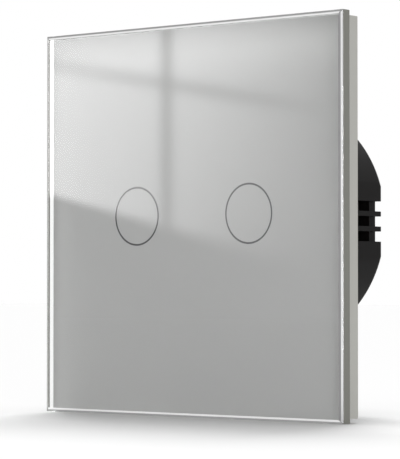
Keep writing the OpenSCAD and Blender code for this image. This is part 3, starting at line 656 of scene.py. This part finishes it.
def coated(name, rgb):
    """Thick glossy lacquer with a slight orange peel."""
    f = Finish(name)
    peel = f.noise(700.0, 2.0)
    more = {"Normal": f.bump(peel, 0.25, 0.05), "Coat Weight": 0.4}
    return f.skin(f.mottled(peel, rgb, 0.9, 1.1), 0.18 + peel * 0.12, more)


def enamelled(name, rgb):
    """Copper wire under clear enamel, a little darker in places."""
    f = Finish(name)
    tarnish = f.noise(500.0, 3.0)
    tone = f.mottled(tarnish, rgb, 0.75, 1.1)
    return f.skin(tone, 0.22 + tarnish * 0.15, {"Metallic": 1.0, "Coat Weight": 0.6})


def can_finish(s):
    """A sleeved can with a pale stripe down one side and a bare metal top."""
    f = Finish("can_sleeve")
    middle = middle_of("bulk_capacitor")
    lip = (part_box("bulk_capacitor")[1].y - s.can_lip) / MM
    top = f.axis("Y").above(lip) * (s.can_top / MM - f.away(middle)).above(0.0)
    band = f.axis("X").above((middle.x + s.can_stripe) / MM) * (1.0 - top)
    fine = f.noise(1800.0, 3.0)
    film = f.mix(band, f.mottled(fine, s.sleeve_colour, 0.85, 1.15), s.stripe_colour)
    more = {"Metallic": top, "Normal": f.bump(fine, 0.2, 0.01)}
    return f.skin(f.mix(top, film, BARE_CAN), 0.26 + fine * 0.1, more)


def fuse_finish(s):
    """A pale ceramic tube with plated caps and leads."""
    low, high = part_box("fuse")
    middle = middle_of("fuse").x / MM
    half = ((high.x - low.x) / 2 - s.fuse_cap) / MM
    leads = (low.y + s.lead_stand) / MM

    def in_metal(f):
        caps = (abs(f.axis("X") - middle) - half).above(0.0)
        return caps + (leads - f.axis("Y")).above(0.0) - 0.5

    return two_part("fuse_ceramic", in_metal, FUSE_TUBE, (s.tin_colour, 0.22, 1.0))


# Pieces


def cad(node):
    return frame["nodes"][node]


def body_of(node):
    """The body that a CAD node rides on."""
    bodies = frame["record"]["behaviour"]["bodies"]
    return next(body for body, nodes in bodies.items() if node in nodes)


def slot_of(node):
    """The record's material slot of a CAD node."""
    return next(p["material_slot"] for p in frame["record"]["subparts"] if p["node"] == node)


def middle_of(node):
    """The middle of a CAD node's box."""
    low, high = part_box(node)
    return (low + high) / 2


def at_depth(y, low, high):
    """The middle of a box, moved to a place along Y."""
    return ((low.x + high.x) / 2, y, (low.z + high.z) / 2)


def put(name, data):
    """A new object in the scene."""
    thing = bpy.data.objects.new(name, data)
    bpy.context.scene.collection.objects.link(thing)
    return thing


def dress(material, *nodes):
    """Gives CAD nodes their finish and leaves their meshes as they are."""
    for node in nodes:
        mesh = cad(node).data
        mesh.materials.clear()
        mesh.materials.append(material)


def stand_in(name, mesh, material, node, *, hides=True):
    """Makes a piece of a mesh that rides with a CAD node, and shows it in the node's place."""
    if not mesh.materials:
        mesh.materials.append(material)
    mesh.name = name
    piece = put(name, mesh)
    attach(piece, body_of(node))
    slot_of(node)
    if hides:
        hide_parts(node)


def baked(thing):
    """The plain mesh that an object's modifiers make; the object itself is taken away."""
    mesh = bpy.data.meshes.new_from_object(thing.evaluated_get(bpy.context.evaluated_depsgraph_get()))
    thing.modifiers.clear()
    bpy.data.objects.remove(thing)
    return mesh


def plain_mesh(name, bm):
    """Turns a bmesh into a mesh."""
    bm.normal_update()
    mesh = bpy.data.meshes.new(name)
    bm.to_mesh(mesh)
    bm.free()
    return mesh


def smooth(mesh, angle=35.0):
    """Shades a mesh smooth and keeps the edges that turn by more than an angle."""
    mesh.shade_smooth()
    mesh.set_sharp_from_angle(angle=math.radians(angle))


def evenly_shaded(mesh):
    """Shades a mesh so that its flats look flat and its rounded edges round."""
    smooth(mesh)
    thing = put(mesh.name, mesh)
    thing.modifiers.new("even", "WEIGHTED_NORMAL").keep_sharp = True
    return baked(thing)


def square_loft(bm, rings):
    """Skins a closed stack of squares, each a half width and a place along Y, and gives its bands.

    Each band lists its lower, right, upper and left face.
    """
    loops = []
    bands = []
    for half, y in rings:
        corners = ((-half, -half), (half, -half), (half, half), (-half, half))
        loops.append([bm.verts.new((x, y, z)) for x, z in corners])
    for a, b in zip(loops, loops[1:]):
        bands.append([bm.faces.new((a[i], b[i], b[i - 3], a[i - 3])) for i in range(4)])
    bm.faces.new(list(loops[0]))
    bm.faces.new(list(reversed(loops[-1])))
    bmesh.ops.recalc_face_normals(bm, faces=bm.faces)
    return bands


def round_edges(bm, width, segments=2, least=30.0):
    """Rounds every edge that turns by more than a least angle."""
    least = math.radians(least)
    sharp = [e for e in bm.edges if len(e.link_faces) == 2 and e.calc_face_angle(0.0) > least]
    bmesh.ops.bevel(
        bm, geom=sharp, offset=width, segments=segments, profile=0.5, affect="EDGES", clamp_overlap=True
    )


def close_up(bm):
    """Merges points that fell together, with the faces that have no area left."""
    bmesh.ops.remove_doubles(bm, verts=bm.verts, dist=SAME_PLACE)
    bmesh.ops.dissolve_degenerate(bm, edges=bm.edges, dist=SAME_PLACE)


def merged(node):
    """A copy of a CAD node's triangles with its points merged and its flat faces joined."""
    bm = bmesh.new()
    bm.from_mesh(cad(node).data)
    bmesh.ops.remove_doubles(bm, verts=bm.verts, dist=CAD_WELD)
    bmesh.ops.dissolve_limit(
        bm, angle_limit=FLAT_TURN, use_dissolve_boundaries=False, verts=bm.verts, edges=bm.edges
    )
    return bm


def rounded(name, node, width, segments=2):
    """A copy of a CAD node with rounded edges."""
    bm = merged(node)
    round_edges(bm, width, segments)
    close_up(bm)
    return plain_mesh(name, bm)


def soften(name, node, material, width, segments=2):
    """Shows a CAD node as a copy of it with rounded edges."""
    stand_in(name, evenly_shaded(rounded(name, node, width, segments)), material, node)


def less(mesh, *tools):
    """A mesh with the shapes of other meshes cut out of it."""
    thing, *cutters = [put(m.name, m) for m in (mesh, *tools)]
    for cutter in cutters:
        cut = thing.modifiers.new(cutter.name, "BOOLEAN")
        cut.solver = "EXACT"
        cut.object = cutter
    made = baked(thing)
    for cutter in cutters:
        bpy.data.objects.remove(cutter)
    return made


def solids(node):
    """The lowest and highest corner of each separate solid in a CAD node."""
    bm = merged(node)
    left = set(bm.verts)
    boxes = []
    while left:
        edge = {left.pop()}
        points = []
        while edge:
            vert = edge.pop()
            points.append(vert.co.copy())
            near = {e.other_vert(vert) for e in vert.link_edges} & left
            left -= near
            edge |= near
        boxes.append([Vector(pick(p[i] for p in points) for i in range(3)) for pick in (min, max)])
    bm.free()
    return sorted(boxes, key=lambda box: tuple(box[0]))


class SWITCH_OT_glass(bpy.types.Operator):
    """Builds the glass plate with its ground bevel, and finishes the print behind it"""

    bl_idname = "switch.glass"
    bl_label = "Glass and print"

    def execute(self, context):
        s = context.scene.switch_panel
        low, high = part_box("glass_plate")
        half = high.x
        split = s.bevel_split
        rings = (
            (half - s.bevel_width, low.y),
            (half - s.bevel_width * split, low.y + s.bevel_depth * (1 - split)),
            (half, low.y + s.bevel_depth),
            (half, high.y - s.rear_chamfer),
            (half - s.rear_chamfer, high.y + s.film_overlap),
        )
        bm = bmesh.new()
        bands = square_loft(bm, rings)
        # Finishes of each band, for the lower, right, upper and left side in turn. The sides differ as
        # painted light: painted highlights on the lower, upper and right bevel and a painted shade line on
        # the inner right bevel
        clear, edge, glint, side_glint, grey, dark, lower_highlight = range(7)
        looks = (
            (lower_highlight, dark, glint, clear),
            (grey, side_glint, grey, clear),
            (edge, edge, edge, edge),
            (clear, clear, clear, clear),
        )
        for faces, row in zip(bands, looks):
            for face, look in zip(faces, row):
                face.material_index = look
        round_edges(bm, s.arris, least=20.0)
        mesh = plain_mesh("glass_panel", bm)
        finishes = (
            clear_glass(),
            ground_edge("ground_side", s.side_colour),
            # Painted highlights: the upper and right bevels are tinted mirrors with a tone for each side
            bright_bevel("glint_bevel", s.glint_colour),
            bright_bevel("streak_bevel", s.side_glint_colour),
            ground_edge("ground_arris", s.arris_colour),
            ground_edge("ground_line", s.edge_shade_colour),
            ground_edge("frosted_bevel", s.lower_highlight_colour),
        )
        for finish in finishes:
            mesh.materials.append(finish)
        stand_in("glass_panel", mesh, finishes[0], "glass_plate")
        dress(screen_print("film_print", s.film_colour), "decor_film")
        ink = screen_print("circle_print", s.line_colour, mottle=0.05)
        dress(ink, *("ring_mark_" + side for side in SIDES))
        return {"FINISHED"}


class SWITCH_OT_surround(bpy.types.Operator):
    """Builds the moulded surround frame with its clips and finishes the tape"""

    bl_idname = "switch.surround"
    bl_label = "Surround frame"

    def execute(self, context):
        s = context.scene.switch_panel
        grey = moulded("frame_plastic", s.frame_colour, rough=0.45, grain=4200.0, depth=0.01, cloud=0.03)
        soften("frame_moulding", "surround_frame", grey, s.edge_round)
        soften("clip_mouldings", "snap_clips", grey, s.edge_round)
        dress(moulded("foam_tape", FOAM_WHITE, rough=0.9, grain=2600.0, depth=0.06), "bond_tape")
        return {"FINISHED"}


class SWITCH_OT_base(bpy.types.Operator):
    """Builds the bracket, the rear housing and the front cover"""

    bl_idname = "switch.base"
    bl_label = "Bracket and housing"

    def execute(self, context):
        s = context.scene.switch_base
        black = moulded(
            "housing_plastic", s.housing_colour, rough=0.42, grain=3600.0, depth=0.03, cloud=0.1, gleam=0.08
        )
        shell = rounded("housing_moulding", "rear_housing", s.housing_round)
        shell = evenly_shaded(less(shell, *rear_cuts(s)))
        stand_in("housing_moulding", shell, black, "rear_housing")
        soften("cover_moulding", "front_cover", black, s.housing_round)
        zinc = plated("bracket_zinc", s.steel_colour)
        soften("bracket_pressing", "mounting_bracket", zinc, s.sheet_round)
        return {"FINISHED"}


def rear_cuts(s):
    """What is sunk into the housing's rear face: driver sinks, ejector marks and a blank recess."""
    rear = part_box("rear_housing")[1].y
    sinks = [at_depth(rear, *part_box("terminal_screw_" + pole)) for pole in POLES]
    pins = [at_depth(rear, *box) for box in solids("board_screws")]
    sorts = (
        ("driver_sinks", sinks, s.sink_rim, s.sink_rim - s.sink_deep, s.sink_deep),
        ("pin_marks", pins, s.pin_mark, s.pin_mark, s.pin_deep),
    )
    tree = sink_tree()
    cuts = []
    for name, points, rim, floor, depth in sorts:
        sizes = {"Rim": rim, "Floor": floor, "Depth": depth, "Turn": OUTWARD}
        cuts.append(tree.grow(name, points, sizes))
    bm = bmesh.new()
    wide = s.recess_wide / 2 - s.recess_corner
    high = s.recess_high / 2 - s.recess_corner
    steps = 8
    loop = []
    for quarter, (sx, sz) in enumerate(((1, 1), (-1, 1), (-1, -1), (1, -1))):
        for i in range(steps + 1):
            angle = (quarter + i / steps) * math.pi / 2
            x = sx * wide + math.cos(angle) * s.recess_corner
            z = sz * high + math.sin(angle) * s.recess_corner
            loop.append(bm.verts.new((x, rear - s.recess_deep, z + s.recess_lift)))
    grown = bmesh.ops.extrude_face_region(bm, geom=[bm.faces.new(loop)])["geom"]
    for part in grown:
        if isinstance(part, bmesh.types.BMVert):
            part.co.y += 2 * s.recess_deep
    bmesh.ops.recalc_face_normals(bm, faces=bm.faces)
    cuts.append(plain_mesh("blank_recess", bm))
    return cuts


class SWITCH_OT_screws(bpy.types.Operator):
    """Builds the screws of the housing, the boards and the terminals"""

    bl_idname = "switch.screws"
    bl_label = "Screws"

    def execute(self, context):
        s = context.scene.switch_base
        steel = plated("screw_zinc", s.steel_colour, rough=0.28, drawn=NOT_DRAWN, scale=3000.0)
        tree = screw_tree()
        sorts = [
            ("housing_screws", s.housing_head, s.housing_shank, SHORT_SLOT, INWARD),
            ("board_screws", s.board_head, s.board_shank, SHORT_SLOT, INWARD),
        ]
        for pole in POLES:
            sorts.append(("terminal_screw_" + pole, s.clamp_head, s.clamp_shank, LONG_SLOT, OUTWARD))
        for node, head, shank, slot, turn in sorts:
            boxes = solids(node)
            low, high = boxes[0]
            radius = (high.x - low.x) / 2
            heads = [at_depth(a.y if turn is INWARD else b.y, a, b) for a, b in boxes]
            sizes = {
                "Head radius": radius,
                "Head height": head,
                "Shank radius": shank,
                "Thread pitch": s.thread_pitch,
                "Length": high.y - low.y,
                "Recess width": s.recess_width,
                "Recess depth": head * RECESS_SHARE,
                "Slot length": radius * slot,
                "Cross length": radius * SHORT_SLOT,
                "Turn": turn,
                "Material": steel,
            }
            stand_in(node + "_threaded", tree.grow(node + "_mesh", heads, sizes), steel, node)
        return {"FINISHED"}


class SWITCH_OT_keys(bpy.types.Operator):
    """Builds the touch springs and finishes the light tubes and the lamps"""

    bl_idname = "switch.keys"
    bl_label = "Touch keys"

    def execute(self, context):
        s = context.scene.switch_inside
        steel = plated("spring_wire", s.tin_colour, rough=0.2, drawn=NOT_DRAWN, scale=4000.0)
        tree = coil_tree()
        ends = [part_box(node)[0].y for node in ("bond_tape", "touch_board")]
        for side in SIDES:
            spring = "touch_spring_" + side
            wind(tree, spring + "_wire", spring, steel, s.spring_wire, ends, turns=s.spring_turns)
            lamp = "indicator_lamp_" + side
            dress(lamp_finish(lamp, middle_of(spring), s.lens_radius), lamp)
        dress(light_plastic(), *("light_tube_" + side for side in SIDES))
        return {"FINISHED"}


class SWITCH_OT_boards(bpy.types.Operator):
    """Finishes the two boards, their chips, spacers and header"""

    bl_idname = "switch.boards"
    bl_label = "Boards"

    def execute(self, context):
        s = context.scene.switch_inside
        dress(solder_mask(s.board_colour), "touch_board", "power_board")
        black = moulded("header_plastic", STRIP_BLACK, rough=0.5, grain=3000.0, cloud=0.1, gleam=0.3)
        soften("header_socket_moulding", "header_socket", black, s.small_round)
        strip = (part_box("header_pins")[0].y + s.strip_height) / MM
        gold = (s.gold_colour, 0.25, 1.0)
        dress(two_part("header_pin_gold", lambda f: f.axis("Y") - strip, PIN_STRIP, gold), "header_pins")
        for chip in CHIPS:
            dress(chip_finish(chip, getattr(s, chip)), chip)
        dress(moulded("spacer_nylon", NYLON_WHITE, rough=0.5, grain=1800.0, depth=0.01), "board_spacers")
        return {"FINISHED"}


class SWITCH_OT_power(bpy.types.Operator):
    """Builds the capacitors, the choke, the varistor and the fuse"""

    bl_idname = "switch.power"
    bl_label = "Power parts"

    def execute(self, context):
        s = context.scene.switch_inside
        lacquer = coated("capacitor_lacquer", s.capacitor_colour)
        soften("film_capacitor_box", "film_capacitor", lacquer, s.block_round, segments=3)
        dress(can_finish(s), "bulk_capacitor")
        ferrite = moulded("choke_ferrite", FERRITE_GREY, rough=0.6, grain=1500.0, depth=0.05, cloud=0.15)
        soften("choke_drum", "choke_core", ferrite, s.small_round)
        copper = enamelled("choke_copper", s.copper_colour)
        ends = [corner.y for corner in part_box("choke_winding")]
        wind(coil_tree(), "choke_turns", "choke_winding", copper, s.choke_wire, ends)
        stand = (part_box("varistor")[0].y + s.lead_stand) / MM
        blue = (s.varistor_colour, 0.35, 0.0)
        leads = (s.tin_colour, 0.3, 1.0)
        dress(two_part("varistor_lacquer", lambda f: stand - f.axis("Y"), blue, leads), "varistor")
        dress(fuse_finish(s), "fuse")
        return {"FINISHED"}


class SWITCH_OT_relays(bpy.types.Operator):
    """Builds the two relays with their windings"""

    bl_idname = "switch.relays"
    bl_label = "Relays"

    def execute(self, context):
        s = context.scene.switch_inside
        blue = moulded("relay_plastic", s.relay_colour, rough=0.3, grain=2600.0, depth=0.01)
        black = moulded("relay_foot", EPOXY_BLACK, rough=0.5, grain=2600.0, cloud=0.1, gleam=0.3)
        cream = moulded("bobbin_plastic", SPOOL_CREAM, rough=0.5, grain=2200.0)
        iron = plated("relay_iron", s.tin_colour, rough=0.35)
        silver = plated("contact_silver", s.contact_colour, rough=0.25)
        copper = enamelled("relay_copper", s.copper_colour)
        small = (("foot", "base", black), ("angle", "yoke", iron), ("rocker", "armature", iron))
        tree = coil_tree()
        for side in SIDES:
            soften("relay_cover_" + side, "relay_case_" + side, blue, s.block_round, segments=3)
            for piece, node, look in small:
                soften(f"relay_{piece}_{side}", f"relay_{node}_{side}", look, s.small_round)
            dress(silver, "relay_contact_" + side)
            coil = "relay_coil_" + side
            bobbin(s, "relay_spool_" + side, coil, cream)
            low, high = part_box(coil)
            ends = (low.y + s.bobbin_flange, high.y - s.bobbin_flange)
            turns = "relay_turns_" + side
            wind(tree, turns, coil, copper, s.relay_wire, ends, rim=s.bobbin_lip, hides=False)
        return {"FINISHED"}


class SWITCH_OT_terminals(bpy.types.Operator):
    """Builds the terminal block, its bars and its clamp cages"""

    bl_idname = "switch.terminals"
    bl_label = "Terminals"

    def execute(self, context):
        s = context.scene.switch_inside
        green = moulded("terminal_plastic", s.terminal_colour, rough=0.4, grain=3000.0)
        soften("terminal_moulding", "terminal_block", green, s.small_round)
        brass = plated("terminal_brass", s.brass_colour, rough=0.3)
        soften("bus_bar_strips", "bus_bars", brass, s.small_round)
        nickel = plated("cage_nickel", s.tin_colour, rough=0.25)
        for pole in POLES:
            soften("cage_box_" + pole, "clamp_cage_" + pole, nickel, s.small_round)
        return {"FINISHED"}


def wind(tree, name, node, material, wire, ends, rim=0.0, turns=None, hides=True):
    """Shows a coil as wire inside a rim, with open turns between its ends or else close wound."""
    low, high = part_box(node)
    start = ends[0] + wire / 2
    height = ends[1] - wire / 2 - start
    sizes = {
        "Radius": (high.x - low.x) / 2 - rim - wire / 2,
        "Wire": wire,
        "Height": height,
        "Turns": turns or round(height / wire) - 2.0,
        "Turn": INWARD,
        "Material": material,
    }
    mesh = tree.grow(name + "_mesh", [at_depth(start, low, high)], sizes)
    stand_in(name, mesh, material, node, hides=hides)


def bobbin(s, name, node, material):
    """The square-ended spool that a relay's wire is wound on."""
    low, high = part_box(node)
    middle = middle_of(node)
    half = (high.x - low.x) / 2
    neck = half - s.bobbin_lip - s.relay_wire
    first = low.y + s.bobbin_flange
    last = high.y - s.bobbin_flange
    # Each ring is a place along Y and a half width, square for the ends and round for the neck
    profile = (
        (low.y, s.bobbin_bore, False),
        (low.y, half, True),
        (first, half, True),
        (first, neck, False),
        (last, neck, False),
        (last, half, True),
        (high.y, half, True),
        (high.y, s.bobbin_bore, False),
    )
    bm = bmesh.new()
    steps = 48
    rings = []
    for y, reach, square in profile:
        ring = []
        for i in range(steps):
            angle = 2 * math.pi * (i + 0.5) / steps
            x, z = math.cos(angle), math.sin(angle)
            stretch = reach / max(abs(x), abs(z)) if square else reach
            ring.append(bm.verts.new((middle.x + x * stretch, y, middle.z + z * stretch)))
        rings.append(ring)
    for a, b in zip(rings, rings[1:] + rings[:1]):
        for i in range(steps):
            bm.faces.new((a[i], a[i - 1], b[i - 1], b[i]))
    bmesh.ops.recalc_face_normals(bm, faces=bm.faces)
    mesh = plain_mesh(name, bm)
    smooth(mesh, 30.0)
    stand_in(name, mesh, material, node)


class SWITCH_OT_stage(bpy.types.Operator):
    """Builds the floor, the lamps, the mirrored window and the camera"""

    bl_idname = "switch.stage"
    bl_label = "Stage"

    def execute(self, context):
        s = context.scene.switch_stage
        set_world(s)
        make_floor(s)
        add_camera(s)
        add_lamps(s)
        add_window(s)
        context.scene.view_settings.view_transform = "Standard"
        return {"FINISHED"}


def set_world(s):
    """White where it is seen, and an even room light where it shines on things."""
    world = bpy.data.worlds.new("studio")
    world.use_nodes = True
    graph = Graph(world.node_tree)
    graph.tree.nodes.clear()
    level = graph.seen() * (1.0 - s.world_level) + s.world_level
    shine = graph.node("ShaderNodeBackground", {"Color": level, "Strength": 1.0})
    graph.node("ShaderNodeOutputWorld", {"Surface": shine})
    bpy.context.scene.world = world


def stage_plane(name, corners, material):
    """A flat face that belongs to the stage."""
    bm = bmesh.new()
    bm.faces.new([bm.verts.new(corner) for corner in corners])
    mesh = plain_mesh(name, bm)
    mesh.materials.append(material)
    plane = put(name, mesh)
    return plane


def make_floor(s):
    """A wide pale floor under the lower edge of the glass."""
    f = Finish("floor_white")
    seen = f.seen()
    # Painted shadow: the glow that the camera sees falls off by ambient occlusion round the object's foot
    near = f.node("ShaderNodeAmbientOcclusion", {"Distance": s.contact}, "AO")
    tone = f.mix(seen, shade(s.floor_colour, s.bounce), shade(s.floor_colour, 1.0 - s.floor_glow))
    pale = f.node("ShaderNodeBsdfDiffuse", {"Color": tone})
    glow = f.glow(seen * (near * near * s.floor_glow - s.under_light) + s.under_light)
    white = f.done(f.node("ShaderNodeAddShader", {0: pale, 1: glow}))
    signs = ((-1, -1), (1, -1), (1, 1), (-1, 1))
    corners = [(x * FLOOR_REACH, y * FLOOR_REACH, CAD_BOX[0].z) for x, y in signs]
    stage_plane("floor", corners, white)


def add_camera(s):
    """The camera at the photograph's viewing angle."""
    data = bpy.data.cameras.new("camera")
    data.lens = s.lens
    data.sensor_width = SENSOR
    data.clip_start = CLIP_START
    data.clip_end = CLIP_END
    camera = put("camera", data)
    camera.location = (s.camera_side, -s.camera_front, s.camera_height)
    camera.rotation_euler = (math.radians(90 + s.camera_lift), 0.0, math.radians(s.camera_turn))
    bpy.context.scene.camera = camera


def aim_lamp(lamp, place):
    """Puts a lamp in a place and turns it to the middle of the panel."""
    thing = put(lamp.name, lamp)
    thing.location = place
    thing.rotation_euler = (-Vector(place)).to_track_quat("-Z", "Y").to_euler()
    return thing


def add_lamps(s):
    """A broad high lamp behind the panel and a low one on the right in front of it."""
    high = bpy.data.lights.new("high_lamp", "SUN")
    high.energy = s.high_power
    high.angle = math.radians(s.high_spread)
    aim_lamp(high, HIGH_LAMP)
    fill = bpy.data.lights.new("fill_lamp", "AREA")
    fill.shape = "DISK"
    fill.size = FILL_SIZE
    fill.energy = s.fill_power
    aim_lamp(fill, FILL_LAMP).visible_camera = False


def add_window(s):
    """A barred window that only the glass sees, placed by mirroring the camera in its front."""
    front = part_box("glass_plate")[0].y
    eye = Vector((s.camera_side, 2 * front + s.camera_front, s.camera_height))
    spread = (eye.y + s.window_far) / (eye.y - front)
    f = Finish("window_light")
    x, z = ((f.axis(key) - at / MM) / spread + at / MM for key, at in (("X", eye.x), ("Z", eye.z)))
    # Places, widths and slopes of the window's parts as they are seen on the glass, in millimetres
    fade_from, fade_run, fade_power = -40.0, 78.0, 2.3
    dim_from, dim_rate, dim_more, dim_side = 37.5, 0.0074, 0.00021, -25.0
    upright_width, upright_dark = 2.3, 0.66
    cross_width, cross_slope, cross_dark, cross_more = 1.9, 0.176, 0.5, 0.005
    sill_soft, sill_slope, sill_more = 4.4, 0.2245, 0.05
    fade = 1.0 - ((x - fade_from) / fade_run).clamped() ** fade_power
    drop = 1.0 - (dim_rate + (x - dim_side) * dim_more) * (dim_from - z)
    upright = bar(x - s.bar_x / MM, upright_width)
    cross = bar(z - s.bar_z / MM + x * cross_slope, cross_width)
    sill = ((z - s.sill_z / MM + x * sill_slope) / (sill_soft + x * sill_more) + 0.5).clamped()
    panes = (1.0 - upright * upright_dark) * (1.0 - cross * (cross_dark + x * cross_more))
    level = fade * drop * panes * sill * sill * (3.0 - sill * 2.0) * s.window_level + 1.0
    left, right, low, high = -75.0 * MM, 45.0 * MM, -20.0 * MM, 65.0 * MM
    seen = [Vector((a, front, b)) for a, b in ((left, low), (right, low), (right, high), (left, high))]
    corners = [eye + (corner - eye) * spread for corner in seen]
    window = stage_plane("window", corners, f.done(f.glow(level)))
    window.visible_camera = False
    window.visible_diffuse = False
    window.visible_transmission = False
    window.visible_shadow = False


def bar(across, width):
    """One in the middle of a soft bar and none well beside it."""
    fall = across * across * (-1.0 / (width * width))
    return fall.math("EXPONENT", fall)


class SWITCH_PT_panel(bpy.types.Panel):
    """Lists the operators that build the switch"""

    bl_idname = "SWITCH_PT_panel"
    bl_label = "Touch light switch"
    bl_space_type = "VIEW_3D"
    bl_region_type = "UI"
    bl_category = "Switch"

    def draw(self, context):
        for operator in OPERATORS:
            self.layout.operator(operator.bl_idname)
        for name in GROUPS:
            group = getattr(context.scene, name)
            box = self.layout.box()
            for key in group.__annotations__:
                box.prop(group, key)


GROUPS = {
    "switch_panel": SwitchPanelSettings,
    "switch_base": SwitchBaseSettings,
    "switch_inside": SwitchInsideSettings,
    "switch_stage": SwitchStageSettings,
}
OPERATORS = (
    SWITCH_OT_glass,
    SWITCH_OT_surround,
    SWITCH_OT_base,
    SWITCH_OT_screws,
    SWITCH_OT_keys,
    SWITCH_OT_boards,
    SWITCH_OT_power,
    SWITCH_OT_relays,
    SWITCH_OT_terminals,
    SWITCH_OT_stage,
)


CLASSES = (*GROUPS.values(), *OPERATORS, SWITCH_PT_panel)


def register():
    for each in CLASSES:
        bpy.utils.register_class(each)
    for name, group in GROUPS.items():
        setattr(bpy.types.Scene, name, bpy.props.PointerProperty(type=group))


def unregister():
    for name in GROUPS:
        delattr(bpy.types.Scene, name)
    for each in reversed(CLASSES):
        bpy.utils.unregister_class(each)


def main():
    register()
    bpy.ops.switch.glass()
    bpy.ops.switch.surround()
    bpy.ops.switch.base()
    bpy.ops.switch.screws()
    bpy.ops.switch.keys()
    bpy.ops.switch.boards()
    bpy.ops.switch.power()
    bpy.ops.switch.relays()
    bpy.ops.switch.terminals()
    bpy.ops.switch.stage()


if __name__ == "__main__":
    main()
